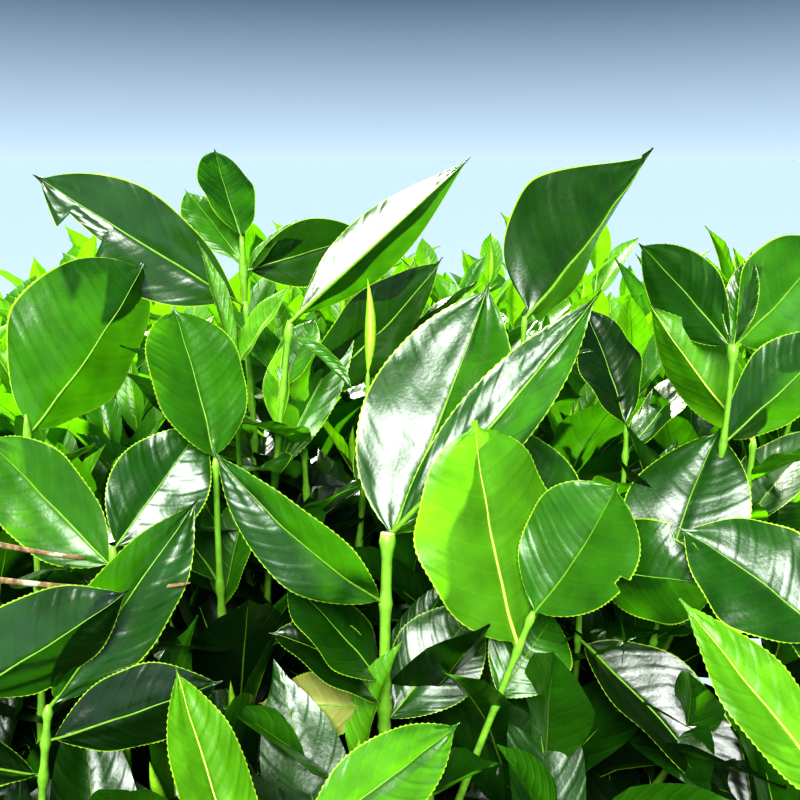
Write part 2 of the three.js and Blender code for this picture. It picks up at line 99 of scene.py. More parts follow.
KNUCKLE_REACH = 0.035  # of a healed cut, as a share of its limb
SWING_WAVES = (9, 7)  # radians that the two sines of a swing run through from end to end

# Stems, branches and twigs, in mm and shares
STEM_TIP = 6
STEM_LIFT = 0.4  # share of its climb over which a stem keeps its bough's heading
BRANCHES = 3  # off the stem of each mass
BRANCH_SPREAD = 120  # how far out from the stem the last branch ends
BRANCH_DEPTH = 85  # how far under the shoot feet the branches end
BRANCH_MARGIN = 40  # how far inside the table's rim they end, at least
BRANCH_ROOTS = (0.1, 0.75)  # shares of the stem that they leave from
BRANCH_BEND = (0.6, 0.45)  # shares of a branch's run out and of its climb where it bends up
BRANCH_RADII = (4.6, 3.2)
TWIG_RADII = (2.3, 1.5)
TALL_RADII = (2.4, 1.3)
CUT_RADIUS = 2.3  # of a tall shoot at its cut
TWIG_POINT = 0.35  # what is left of a twig's radius at an end without a cut
TWIG_DEPTH = 45  # how far under a shoot's foot its twig forks off, at least
FORK_SPACING = 12  # between the feet of twigs on one branch
FORK_SHARES = np.linspace(0.2, 0.97, 15)  # of a stem or branch, where twigs may fork off
FORK_COSTS = (2, 4)  # mm of twig that a mm too high, or too near another fork, is worth
WOODY = {"inner": 0.8, "table": 0.45, "tall": 0.25}  # shares of twigs that have turned brown

# Shoots, in mm and degrees
FLANK_SHARE = 0.3  # of the shoots
FLANK_BAND = (0.88, 0.97)  # shares of the table's radius that they stand between
FLANK_RISE = 0.55  # their height, as a share of the others'
RISES = (120, 95, 150, 75, 135, 105)  # heights of shoots above their feet, dealt in turn
LEANS = {"middle": 0, "rim": 28, "flank_top": 40, "flank_foot": 66}  # from upright
LOWEST_RISE = 10  # of a plucked shoot
INTERNODE = 24  # from leaf to leaf along a shoot
TOP_GAP = 0.2  # from the tip down to the top leaf, in internodes
BARE_SHARE = 0.1  # of a twig, from its fork up, that bears no leaf
TURNS = (5, 1.6)  # places tried for a leaf, and leaves' turns from one to the next
BUD_LENGTHS = (24, 38)
BUD_WIDTH = 5
BUD_ROOM = 36  # what a bud needs over the shoot
BUD_BEND = 0.12  # sideways, as a share of its length
BUDDED_FROM = 0.3  # sprays are dealt numbers from 0 to 1, and bear buds from here up
CUT_UNDER = 0.12  # and end in a cut under this
SHOOT_SEED = 1000
LOOKS_SEED = 7100
TALL_SEED = 7000
INNER_SEEDS = 5000  # added for the shoots inside the crown

# Old shoots inside the crown, in mm and degrees
INNER_REACH = 0.86  # share of the table's radius that their feet keep to
INNER_DROP = 100  # how far their feet lie under the table's
INNER_LENGTHS = (84, 100, 108, 104, 96, 88)  # of their leaves, from the top leaf down
INNER_RISES = (70, 50, 90, 60)  # of their tops above their feet
INNER_LEANS = (10, 45)  # in the middle and at the rim
# This also deals the inner leaves the darkest shade, partly for their age and partly as painted shade inside
# the crown.
INNER_AGE_AND_SHADE = 6  # how much older their leaves are, in leaves down a shoot

# Leaves, in mm and degrees. Pairs are for the top leaf of a shoot and for its old ones, or least and most.
LEAF_LENGTHS = (62, 86, 102, 110, 112, 104, 98, 92)  # from the top leaf down
LEAF_ASPECT = 0.41  # width over length
LENGTH_RANGE = (0.88, 1.1)  # times those lengths
WIDTH_RANGE = (0.9, 1.1)
SPREADS = (30, 74)  # from the shoot's axis
FOLDS = (34, 12)  # of each half up from the rib
FOLD_RANGE = (-6, 10)  # more than that
ARCHES = (5, 35)
OLD_ARCH = 10  # how much more the leaves from the fourth down arch
TIPS = (0.55, 1)  # sharpness
SHADE_SPREADS = (1.2, 1.3)  # shades by which leaves differ by chance, and sprays from each other
ROLLS = (-18, 18)
LEAF_SLACK = 35  # how far a leaf may reach over the ground of the next mass

# The surface of a leaf, in shares of its length or, where that is said, of its half width
STALK = 0.045
FULLEST = (0.42, 0.5)  # where a blade is widest
LATERAL_VEINS = 9  # pairs
VEIN_SLANT = (0.1, 0.13)  # how far forward a vein runs to the margin: evenly, and with a bend
TWIST = 14  # degrees, at most, that a blade turns about its rib from stalk to tip
TIP_SHARE = 0.04  # of the small point at its end
TIP_WIDTH = 0.09  # of that point, of the half width
CURLS = (-0.05, 0.18)  # how far a margin curls down, of the half width
MARGIN_WAVE = 0.07  # how far it waves, of the half width
MARGIN_WAVES = (1.6, 2.8)  # how many waves it has
RIB_LEAF = 110  # mm, the leaf whose rib is as thick as LeafMake says
RIB_TAPER = 0.88  # roughly how much finer a rib is at the tip
RIB_END = 0.97  # where a rib ends
BROAD_DENTS = 0.007
FINE_DENTS = 0.0025
SICKLE = 0.25  # how far the blade swings to one side, at most, is an eighth of this
BLUNTNESS = 1.25  # a blade bulges between its veins by how far its tip's number is under this

# Patterns of the finishes, in mm
BLOTCH_SIZE = 15.4  # of a leaf's lighter and darker places
CELL_SIZE = 1.67  # of the grain on its skin, which is drawn coarser than real so that it shows
TISSUE_IOR = 1.45
WAX_IOR = 1.55
WAX_ROUGHNESS = 0.33

# Grids: steps along a piece, and round or across it
BOLE_GRID = (72, 132)
BOUGH_GRID = (110, 36)
STEM_GRID = (20, 12)
TWIG_GRID = (12, 6)
TALL_GRID = (72, 12)
DRY_GRID = (24, 8)
BUD_GRID = (9, 7)
NODE_SWELLING = 0.4  # mm at each leaf on a twig
TALL_SWELLING = 0.8
SWELLING_REACH = 0.012  # of those, as a share of their twig

# The masses of foliage: the site in plan, the reach of its ground, the height of its bough's tip, its
# branches and their spread
MASSES = {
    "front": ((0, -290), 260, 440, 6, 190),
    "front_left": ((-345, -265), 150, 445, BRANCHES, BRANCH_SPREAD),
    "front_right": ((345, -265), 150, 450, BRANCHES, BRANCH_SPREAD),
    "left": ((-410, 20), 150, 440, BRANCHES, BRANCH_SPREAD),
    "right": ((410, 20), 150, 445, BRANCHES, BRANCH_SPREAD),
    "inner_left": ((-165, 85), 150, 490, BRANCHES, BRANCH_SPREAD),
    "inner_right": ((165, 85), 150, 485, BRANCHES, BRANCH_SPREAD),
    "inner_back": ((0, 235), 150, 500, BRANCHES, BRANCH_SPREAD),
    "back_left": ((-300, 310), 150, 450, BRANCHES, BRANCH_SPREAD),
    "back_right": ((300, 310), 150, 445, BRANCHES, BRANCH_SPREAD),
    "back": ((0, 440), 150, 455, BRANCHES, BRANCH_SPREAD),
}

# The boughs: the mass that each one carries, what it forks from, how far along that, and its radii
BOUGHS = (
    ("front", "bole", 0, (21, 10)),
    ("left", "bole", 0, (20, 9)),
    ("right", "bole", 0, (20, 9)),
    ("back_left", "bole", 0, (19, 9)),
    ("back_right", "bole", 0, (19, 9)),
    ("inner_back", "bole", 0, (15, 9)),
    ("front_left", "left", 0.36, (14, 8)),
    ("front_right", "right", 0.36, (14, 8)),
    ("inner_left", "left", 0.24, (12, 8)),
    ("inner_right", "right", 0.24, (12, 8)),
    ("back", "back_left", 0.34, (13, 8)),
)

# Shades of leaf, dealt out by spray, and the other finishes on leaves and twigs. The numbers are places in
# the lists of materials.
# The rim's slot takes a pale finish, a painted highlight of the lit edge.
YOUNG, FRESH, FULL, OLD, PAINTED_LIT_RIM, RIB, PALE_RIB, DRY = range(8)
LEAF_MATERIALS = (
    "young leaf", "fresh leaf", "full leaf", "old leaf", "leaf rim", "leaf rib", "pale rib", "dry leaf",
)
BROWN, GREEN, CUT = range(3)
TWIG_MATERIALS = ("twig bark", "green stem", "cut wood")

# The tall shoots at the front: foot, top, bud (azimuth, rise, length, width) or none, and the leaves. Each
# leaf has its height on the stem, azimuth, rise, length, width, roll, arch, fold, sharpness of its tip and
# shade. Over 1 the sharpness also moves the leaf's widest place down to its stalk.
TALL_SHOOTS = (
    ((-10, -282, 600), (-5, -260, 738), None, (
        (655, 36, 37, 68, 40, 28, 12, 10, 0.9, FULL),
        (662, 176, 0, 54, 30, -52, 75, -28, 0.4, DRY),
        (664, 176, 34, 58, 34, -10, 50, 20, 0.6, OLD),
        (673, 160, 44, 62, 50, 10, 10, 10, 0.3, FULL),
        (708, 176, 44, 96, 34, -90, 38, 26, 0.9, FULL),
        (733, 55, 51, 127, 68, 38, 3, -14, 0.6, FULL),
        (736, 26, 43, 140, 32, 58, 26, -14, 1.0, FULL),
    )),
    ((-84, -248, 600), (-78, -242, 764), None, (
        (690, 60, 66, 58, 24, 0, 10, 20, 0.8, FRESH),
        (704, 158, 52, 66, 38, 0, 10, 15, 0.7, FULL),
        (762, 128, 62, 70, 46, 10, 10, 8, 0.1, FRESH),
    )),
    ((8, -296, 590), (54, -274, 710), None, (
        (672, 46, 30, 46, 36, 28, 50, 10, 0.5, FRESH),
        (694, 125, 71, 95, 68, -4, -12, 8, 0.15, YOUNG),
        (708, 10, 60, 64, 50, 35, -15, 14, 0.05, FRESH),
    )),
    ((88, -232, 600), (80, -240, 714), None, (
        (690, 132, 57, 92, 50, 0, 15, 10, 0.4, FULL),
        (672, -50, -25, 102, 50, 6, 15, 32, 0.8, OLD),
        (712, -40, 12, 62, 46, 85, 40, -10, 0.3, FULL),
    )),
    ((-80, -200, 610), (-52, -185, 812), None, (
        (735, 45, 52, 92, 26, 50, 10, 30, 0.9, FRESH),
        (758, 80, 72, 44, 16, 0, 5, 40, 0.9, YOUNG),
        (778, 60, 48, 42, 24, 0, 10, 20, 0.7, FRESH),
        (806, -25, -35, 42, 14, 0, 10, 40, 0.9, FRESH),
        (811, 39, 33, 138, 54, 64, 15, -60, 0.8, FULL),
    )),
    ((60, -148, 620), (64, -154, 808), None, (
        (740, 200, 50, 70, 30, 0, 20, 20, 0.8, FULL),
        (770, 300, 30, 60, 26, 0, 20, 20, 0.8, FULL),
        (807, 38, 41, 128, 88, 96, 8, -28, 1.5, OLD),
    )),
    ((-20, -180, 620), (-16, -172, 784), (91, 67, 47, 6), (
        (715, 60, 40, 80, 30, 0, 20, 25, 0.8, FULL),
        (752, 35, 45, 100, 42, -30, 20, 25, 0.8, OLD),
    )),
    ((180, -192, 610), (176, -183, 752), (139, 65, 55, 6), (
        (700, 20, 42, 76, 42, 0, 20, 20, 0.7, FULL),
        (728, 300, 36, 60, 30, 0, 20, 20, 0.8, FRESH),
        (750, 159, 50, 88, 40, -96, 15, -35, 0.9, YOUNG),
    )),
    ((-166, -235, 610), (-164, -225, 778), None, (
        (720, 220, 40, 70, 36, 0, 20, 20, 0.7, FULL),
        (742, 330, 35, 56, 24, 0, 10, 20, 0.8, FULL),
        (768, 54, 45, 98, 72, 93, 12, -16, 0.15, FULL),
    )),
    ((-142, -330, 590), (-127, -314, 696), None, (
        (668, 200, 20, 70, 34, 0, 20, 15, 0.7, OLD),
        (682, 12, 14, 66, 34, 85, 10, -10, 0.7, OLD),
        (694, 41, 45, 92, 36, 80, 20, 15, 0.9, FULL),
    )),
    ((-112, -284, 590), (-114, -272, 738), None, (
        (728, 150, 31, 84, 40, -62, 30, 10, 0.7, FRESH),
        (736, 52, 40, 64, 40, 52, 4, 15, 0.8, FULL),
    )),
    ((-44, -380, 580), (-44, -374, 676), None, (
        (640, 250, 20, 60, 28, 0, 20, 20, 0.8, FULL),
        (674, 124, 40, 74, 28, 20, 10, 20, 0.8, YOUNG),
    )),
    ((-36, -366, 580), (-32, -362, 684), None, (
        (682, 30, 19, 64, 30, 66, 10, 10, 0.8, FRESH),
    )),
    ((114, -242, 600), (120, -233, 690), None, (
        (670, 330, 40, 64, 34, 0, 20, 15, 0.7, FULL),
        (688, 53, 45, 96, 58, 7, 6, 11, 0.6, FULL),
    )),
    ((128, -400, 600), (118, -394, 724), None, (
        (722, 147, 44, 70, 23, -28, 15, 12, 0.8, YOUNG),
    )),
    ((168, -300, 600), (163, -298, 712), None, (
        (690, 100, 40, 60, 30, 0, 20, 20, 0.8, FULL),
        (710, 142, 26, 69, 54, -30, 10, 17, 0.8, FULL),
    )),
    ((-92, -96, 620), (-92, -86, 842), None, (
        (790, 200, 40, 60, 28, 0, 10, 25, 0.8, FULL),
        (815, 30, 45, 50, 22, 0, 10, 30, 0.8, FRESH),
        (826, 145, 42, 62, 34, -20, 10, 12, 0.7, FRESH),
        (822, 20, 14, 80, 40, 95, 15, 8, 0.8, OLD),
        (841, 124, 56, 60, 38, 14, 10, 10, 0.3, FULL),
    )),
    ((-74, -166, 620), (-77, -163, 817), None, (
        (745, 230, 40, 74, 34, 0, 15, 20, 0.8, FULL),
        (815, 181, 33, 116, 50, -94, 22, 8, 0.8, OLD),
    )),
    ((128, -152, 620), (122, -150, 748), None, (
        (700, 250, 35, 60, 28, 0, 15, 20, 0.8, FULL),
        (730, 20, 45, 70, 30, 0, 15, 20, 0.8, FULL),
        (746, 128, 60, 72, 42, -10, 10, 12, 0.5, OLD),
    )),
    ((166, -196, 620), (158, -188, 801), None, (
        (752, 15, 40, 84, 44, 88, 20, -8, 0.7, FULL),
        (798, 121, 35, 78, 38, -80, 15, 8, 0.8, FULL),
        (799, 60, 60, 50, 18, 0, 10, 35, 0.9, FULL),
        (800, 33, 34, 84, 52, 76, 20, -8, 0.7, FULL),
    )),
    ((-86, -184, 620), (-78, -189, 791), None, (
        (735, 300, 20, 60, 30, 0, 20, 15, 0.8, FULL),
        (762, 200, 40, 66, 28, 0, 20, 20, 0.8, FULL),
        (789, 144, 70, 63, 14, 0, 5, 50, 0.9, YOUNG),
        (790, 34, 50, 48, 24, 0, 10, 20, 0.8, YOUNG),
    )),
    ((-44, -168, 620), (-50, -176, 771), None, (
        (742, 250, 30, 66, 30, 0, 20, 15, 0.8, FULL),
        (768, 160, 45, 70, 30, 0, 20, 20, 0.8, FRESH),
        (770, 35, 36, 110, 46, 95, 15, -8, 0.9, OLD),
    )),
    ((-158, -322, 590), (-150, -332, 712), None, (
        (690, 130, 50, 60, 30, 0, 20, 20, 0.8, FRESH),
        (711, 27, 24, 66, 40, 95, 15, -8, 0.8, OLD),
    )),
    ((12, -340, 600), (9, -330, 683), None, ()),
)
CUT_SHOOTS = (0, 23)  # of the tall shoots, those whose tops were plucked off
LEAFY_SHOOTS = (1, 4, 5, 6, 8, 13, 16, 17, 18, 20, 21)  # those with old leaves under the listed ones
LOWER_LEAVES = (68, 82, 90, 84, 76)  # the lengths of those, from the top down
LOWER_ASPECT = 0.42
LOWER_SPREADS = (50, 80)
LOWER_STEP = 0.8 * INTERNODE
LOWER_BARE = 0.15  # of a tall shoot, from its fork up, that bears none
LOWER_ROLLS = (-20, 20)
LOWER_FORM = (30, 16, 0.8)  # arch, fold and sharpness of tip
LOWER_FULL = 0.3  # share of them in the shade FULL, where the others are OLD

# Places where insects ate the blade, by tall shoot and leaf: from where to where along the blade, the side
# (1 is left) and how much of the half was eaten
BITES = {
    (17, 1): (0.62, 0.8, 1, 0.62),
    (2, 2): (0.5, 0.58, -1, 0.16),
    (3, 2): (0.7, 0.82, 1, 0.25),
}

# Leafless twigs that have dried off at the front: start, bend and end
DRY_TWIGS = (
    ((-176, -306, 748), (-116, -285, 722), (-79, -290, 732)),
    ((-170, -300, 760), (-140, -292, 746), (-118, -288, 741)),
)
DRY_RADII = (1.3, 0.8)

# The stage, in metres and degrees
CAMERA_PLACE = (0.0, -0.560, 0.885)
CAMERA_DOWN = 16.7
CAMERA_LENS = 36.1  # mm, on a sensor as wide and high as the next number
SENSOR = 36.0
CAMERA_NEAR = 0.01
LAMPS_AIM = Vector((0.0, 0.0, 0.65))  # the middle of the crown
SUN_WAY = (118, 44)  # azimuth and height
SUN_STRENGTH = 8.4
SUN_WIDTH = 4
SUN_COLOUR = (1.0, 0.97, 0.9)
BOX_PLACE = (-0.2, -1.99, 2.55)
BOX_SIZE = 1.8
BOX_WATTS = 185.0
AIR_LOW, AIR_HIGH = "#c2d7e9", "#24425f"
AIR_BAND = 0.22  # sine of the height at which the air has deepened
AIR_STRENGTH = 0.95
FLOOR_REACH = 400.0
FLOOR_COLOUR = "#8d9fb0"  # looks the same as the air where they meet


# Small helpers


def lerp(a, b, t):
    """The value that lies the share t of the way from a to b."""
    return a + (b - a) * t


def unit(v):
    """Vectors along the last axis, each made one long."""
    return v / np.linalg.norm(v, axis=-1, keepdims=True)


def heading_of(azimuth, rise):
    """The direction with this azimuth and rise, in radians."""
    level = math.cos(rise)
    return np.array([math.cos(azimuth) * level, math.sin(azimuth) * level, math.sin(rise)])


def random_from(seed):
    """Seeded numbers from 0 to 1: a 32-bit counter, scrambled by shifts and products."""
    mask = 0xFFFFFFFF
    state = seed & mask

    def draw():
        nonlocal state
        state = (state + 0x6D2B79F5) & mask
        t = ((state ^ (state >> 15)) * (state | 1)) & mask
        t ^= (t + (t ^ (t >> 7)) * (t | 61)) & mask
        return (t ^ (t >> 14)) / 4294967296

    return draw


def linear(hex_colour):
    """An sRGB hex colour as the linear red, green, blue and alpha that Blender works in."""
    channels = (int(hex_colour[i : i + 2], 16) / 255 for i in (1, 3, 5))
    return (*(c / 12.92 if c <= 0.04045 else ((c + 0.055) / 1.055) ** 2.4 for c in channels), 1.0)


# The growth rule


class LimbCurve:
    """A limb's middle line: a parabola from start to end that leaves towards the bend, plus a sideways swing
    of two sines that fades to nothing at both ends."""

    def __init__(self, start, bend, end, kink=0.0, turn=0.0):
        self.start, self.bend, self.end = (np.array(p, float) for p in (start, bend, end))
        self.kink, self.turn = kink, turn

    def at(self, t):
        t = np.asarray(t, float)[..., None]
        arc = (1 - t) ** 2 * self.start + 2 * t * (1 - t) * self.bend + t**2 * self.end
        first, second = (waves * t + self.turn for waves in SWING_WAVES)
        sideways = np.concatenate([np.sin(first), np.cos(second), 0 * t], -1)
        return arc + self.kink * np.sin(np.pi * t) * sideways

    def heading(self, t):
        step = 1e-4
        return unit(self.at(min(t + step, 1)) - self.at(max(t - step, 0)))

    def share_at_height(self, height):
        """How far along a climbing curve a height is, by halving."""
        low, high = 0.0, 1.0
        for _ in range(20):
            middle = (low + high) / 2
            if self.at(middle)[2] < height:
                low = middle
            else:
                high = middle
        return low


@dataclass
class Leaf:
    """One leaf, in mm and degrees. Its tip is a sharpness, and its shade a place in LEAF_MATERIALS."""

    root: np.ndarray
    heading: np.ndarray
    upper: np.ndarray  # the way that its upper side faces before its roll, roughly
    length: float
    width: float
    roll: float
    arch: float
    fold: float
    tip: float
    shade: int
    looks: tuple = ()  # four numbers from 0 to 1 that vary its outline and surface
    bite: tuple = (0.0, 0.0, 1, 0.0)


@dataclass
class Twig:
    """A stem, branch or twig, whose radii are those at its foot and its tip."""

    curve: LimbCurve
    radii: tuple
    woody: float  # share of its length that has turned brown
    cut: bool = False  # ends in a cut, not in a bud
    nodes: list = field(default_factory=list)  # shares of its length where leaves stand


@lru_cache
def bough_curves():
    """The middle line of each bough, by the mass that it carries."""
    curves = {}
    off_axis, level = BOUGH_ROOT
    for i, (carries, source, along, _) in enumerate(BOUGHS):
        site, _, top = MASSES[carries][:3]
        out = heading_of(math.atan2(site[1], site[0]), 0)
        if source == "bole":
            start = BOLE_LEAN + off_axis * out + level * BOLE_HEIGHT * UP
        else:
            start = curves[source].at(along)
        end = np.array([BOUGH_END * site[0], BOUGH_END * site[1], top])
        bend = lerp(start, end, BOUGH_BEND[0])
        bend[2] = lerp(start[2], end[2], BOUGH_BEND[1])
        curves[carries] = LimbCurve(start, bend, end, BOUGH_KINK, BOUGH_TURN * i)
    return curves


def owner_of(x, y):
    """The mass that owns a place in plan, and how far inside its ground the place lies."""
    ranked = sorted(
        ((x - site[0]) ** 2 + (y - site[1]) ** 2 - reach**2, name, site)
        for name, (site, reach, *_) in MASSES.items()
    )
    (own, name, site), (following, _, other) = ranked[:2]
    return name, (following - own) / (2 * math.dist(site, other))


def table_height(radius):
    """The height of the shoot feet, which falls with the fourth power of the way out."""
    return TABLE_HEIGHT - SHOULDER_DROP * (radius / TABLE_RADIUS) ** 4


def even_place(n, start):
    """Place n of an even sequence, from this start: a number from 0 to 1 and an azimuth."""
    u, v = ((start + n * step) % 1 for step in EVEN_STEPS)
    return u, 2 * math.pi * v


def polar(azimuth, radius, height):
    """The place this far from the middle, at this height."""
    return np.array([radius * math.cos(azimuth), radius * math.sin(azimuth), height])


def shoot_foot(n):
    """Where shoot n stands, how it leans and how high it grows, on the table or the flank."""
    u, azimuth = even_place(n, 0.5)
    rise = RISES[n % len(RISES)]
    if u < FLANK_SHARE:
        share = u / FLANK_SHARE
        radius = TABLE_RADIUS * lerp(*FLANK_BAND, share)
        height = lerp(SKIRT_HEIGHT, TABLE_HEIGHT - SHOULDER_DROP, share)
        lean = lerp(LEANS["flank_foot"], LEANS["flank_top"], share)
        rise = FLANK_RISE * rise
    else:
        radius = TABLE_RADIUS * math.sqrt((u - FLANK_SHARE) / (1 - FLANK_SHARE))
        height = table_height(radius)
        lean = lerp(LEANS["middle"], LEANS["rim"], (radius / TABLE_RADIUS) ** 2)
    return polar(azimuth, radius, height), heading_of(azimuth, math.radians(90 - lean)), rise


def inner_foot(n):
    """The same for an old shoot inside the crown, over a disc under the table."""
    u, azimuth = even_place(n, 0.25)
    radius = INNER_REACH * TABLE_RADIUS * math.sqrt(u)
    foot = polar(azimuth, radius, table_height(radius) - INNER_DROP)
    lean = lerp(*INNER_LEANS, u)
    return foot, heading_of(azimuth, math.radians(90 - lean)), INNER_RISES[n % len(INNER_RISES)]


def plucked_height(y):
    """The height that leaves may reach at the front, where the table was plucked last."""
    share = np.clip((y - PLUCKED_FROM) / (PLUCKED_TO - PLUCKED_FROM), 0, 1)
    return lerp(*PLUCKED_HEIGHTS, share)


def younger_to_older(pair, age, leaves):
    """A value between the top leaf's and the old ones', which the leaves reach this many leaves down."""
    return lerp(*pair, min(1, age / leaves))


class Mass:
    """One mass of foliage: a stem on its bough's tip, branches off the stem, a twig from a branch to each
    shoot, and the leaves and buds of the shoots."""

    def __init__(self, name):
        self.name = name
        site, _, top, branches, spread = MASSES[name]
        bough = bough_curves()[name]
        tangent = bough.heading(1)
        foot = bough.at(1) + CLEARANCE * tangent
        head = np.array([*site, TABLE_HEIGHT - BRANCH_DEPTH])
        stem = LimbCurve(foot, foot + STEM_LIFT * (head[2] - top) * tangent, head)
        tip_radius = next(radii[1] for carries, _, _, radii in BOUGHS if carries == name)
        self.wood = [Twig(stem, (tip_radius, STEM_TIP), 1)]
        self.twigs, self.tall_twigs, self.forks = [], [], []
        self.leaves, self.tall_leaves, self.buds = [], [], []
        for k in range(branches):
            out = heading_of(k * GOLDEN_ANGLE, 0) * spread * math.sqrt((k + 0.6) / branches)
            end = np.array([*site, 0.0]) + out
            end *= min(1, (TABLE_RADIUS - BRANCH_MARGIN) / math.hypot(end[0], end[1]))
            end[2] = table_height(math.hypot(end[0], end[1])) - BRANCH_DEPTH
            start = stem.at(lerp(*BRANCH_ROOTS, k / branches))
            bend = lerp(start, end, BRANCH_BEND[0])
            bend[2] = lerp(start[2], end[2], BRANCH_BEND[1])
            self.wood.append(Twig(LimbCurve(start, bend, end), BRANCH_RADII, 1))

    def fork_for(self, foot):
        """The place on the stem or a branch that a twig to this foot leaves from: near, low enough for it to
        climb, and away from the twigs before it."""
        too_high, too_near = FORK_COSTS
        places = np.concatenate([limb.curve.at(FORK_SHARES) for limb in self.wood])
        cost = np.linalg.norm(places - foot, axis=1)
        cost += too_high * np.maximum(0, places[:, 2] - foot[2] + TWIG_DEPTH)
        for fork in self.forks:
            cost += too_near * np.maximum(0, FORK_SPACING - np.linalg.norm(places - fork, axis=1))
        self.forks.append(places[np.argmin(cost)])
        return self.forks[-1]

    def holds(self, point, slack=0.0):
        """Whether a point keeps to the crown's bounds and to this mass's ground, or this far past it."""
        name, depth = owner_of(point[0], point[1])
        own = depth if name == self.name else -depth
        return (
            own > -slack
            and math.hypot(point[0], point[1]) < CROWN_RADIUS
            and CROWN_FOOT < point[2] < CROWN_TOP
        )

    def add_tall_shoot(self, number, foot, top, bud, leaves):
        """One of the listed shoots, with its listed leaves and, on some, old ones under them."""
        curve = LimbCurve(self.fork_for(np.array(foot, float)), foot, top)
        cut = number in CUT_SHOOTS
        twig = Twig(curve, (TALL_RADII[0], CUT_RADIUS if cut else TALL_RADII[1]), WOODY["tall"], cut)
        self.tall_twigs.append(twig)
        random = random_from(TALL_SEED + number)
        for k, (height, azimuth, rise, *sizes) in enumerate(leaves):
            share = curve.share_at_height(height)
            twig.nodes.append(share)
            heading = heading_of(math.radians(azimuth), math.radians(rise))
            leaf = Leaf(curve.at(share), heading, UP, *sizes)
            leaf.looks = tuple(random() for _ in range(4))
            leaf.bite = BITES.get((number, k), leaf.bite)
            self.tall_leaves.append(leaf)
        if number in LEAFY_SHOOTS:
            self.add_lower_leaves(twig, min(twig.nodes), random)
        if bud:
            azimuth, rise, length, width = bud
            heading = heading_of(math.radians(azimuth), math.radians(rise))
            self.buds.append((np.array(top, float), heading, length, width))

    def add_lower_leaves(self, twig, share, random):
        """Old leaves in a golden-angle spiral down a tall shoot, from under this share of its length."""
        reach = np.linalg.norm(twig.curve.end - twig.curve.start)
        turn = 2 * math.pi * random()
        for k, length in enumerate(LOWER_LEAVES):
            share -= LOWER_STEP / reach
            spread = math.radians(lerp(*LOWER_SPREADS, random()))
            if share < LOWER_BARE:
                break
            root = twig.curve.at(share)
            heading = heading_of(turn + k * GOLDEN_ANGLE, math.pi / 2 - spread)
            if self.holds(root + length * heading, LEAF_SLACK):
                twig.nodes.append(share)
                roll = lerp(*LOWER_ROLLS, random())
                shade = FULL if random() < LOWER_FULL else OLD
                looks = tuple(random() for _ in range(4))
                form = (length, LOWER_ASPECT * length, roll, *LOWER_FORM, shade)
                self.leaves.append(Leaf(root, heading, UP, *form, looks))

    def add_shoot(self, n, inner=False):
        """A shoot by the rule: leaves in a golden-angle spiral, small and upright at the top, long and level
        lower down. A leaf that doesn't fit is turned on round the twig, and left off if no place is free."""
        seeds = n + (INNER_SEEDS if inner else 0)
        random, looks = random_from(SHOOT_SEED + seeds), random_from(LOOKS_SEED + seeds)
        foot, heading, rise = inner_foot(n) if inner else shoot_foot(n)
        plucked = self.name == "front" and not inner
        room = plucked_height(foot[1]) - foot[2] - LEAF_LENGTHS[0] if plucked else rise
        top = foot + heading * max(min(rise, room), LOWEST_RISE)
        curve = LimbCurve(self.fork_for(foot), foot, top)
        twig = Twig(curve, TWIG_RADII, WOODY["inner" if inner else "table"])
        self.twigs.append(twig)
        turn = 2 * math.pi * random()
        reach = np.linalg.norm(top - curve.start)
        spray = looks()
        for k, usual in enumerate(INNER_LENGTHS if inner else LEAF_LENGTHS):
            age = k + INNER_AGE_AND_SHADE if inner else k
            share = 1 - INTERNODE * (k + TOP_GAP) / reach
            spread = math.radians(younger_to_older(SPREADS, age, 5))
            length = usual * lerp(*LENGTH_RANGE, random())
            width = length * LEAF_ASPECT * lerp(*WIDTH_RANGE, random())
            arch = lerp(*ARCHES, random()) + OLD_ARCH * (age > 2)
            roll = lerp(*ROLLS, random())
            fold = younger_to_older(FOLDS, age, 4) + lerp(*FOLD_RANGE, looks())
            # Plucked front leaves and inner ones come out darker: partly their age, partly painted shade.
            shade = self.shade_for(age + PLUCKED_AGE_AND_SHADE * plucked, spray, looks())
            variation = tuple(looks() for _ in range(4))
            if share < BARE_SHARE:
                continue
            form = (length, width, roll, arch, fold, lerp(*TIPS, variation[0]), shade)
            along = self.free_heading(curve, share, spread, turn, k, length)
            if along is not None:
                twig.nodes.append(share)
                self.leaves.append(Leaf(curve.at(share), along, curve.heading(share), *form, variation))
        if inner:
            return
        if spray > BUDDED_FROM and self.holds(top + BUD_ROOM * heading):
            self.buds.append((top, curve.heading(1), lerp(*BUD_LENGTHS, looks()), BUD_WIDTH))
        else:
            twig.cut = spray < CUT_UNDER

    def free_heading(self, curve, share, spread, turn, k, length):
        """The first of a few headings round a twig, from leaf k's own on, where the leaf fits, or none."""
        root, axis = curve.at(share), curve.heading(share)
        side = unit(np.cross([1.0, 0.0, 0.0], axis))
        other = np.cross(axis, side)
        tries, step = TURNS
        for attempt in range(tries):
            angle = turn + (k + step * attempt) * GOLDEN_ANGLE
            around = math.cos(angle) * side + math.sin(angle) * other
            along = math.cos(spread) * axis + math.sin(spread) * around
            if self.holds(root + length * along, LEAF_SLACK):
                return along
        return None

    @staticmethod
    def shade_for(k, spray, chance):
        """A shade darker for every two leaves down a shoot, and some leaves and sprays paler than others."""
        by_chance, by_spray = SHADE_SPREADS
        age = k / 2 + by_chance * (chance - 0.5) + by_spray * (0.5 - spray)
        return int(np.clip(round(age), YOUNG, OLD))


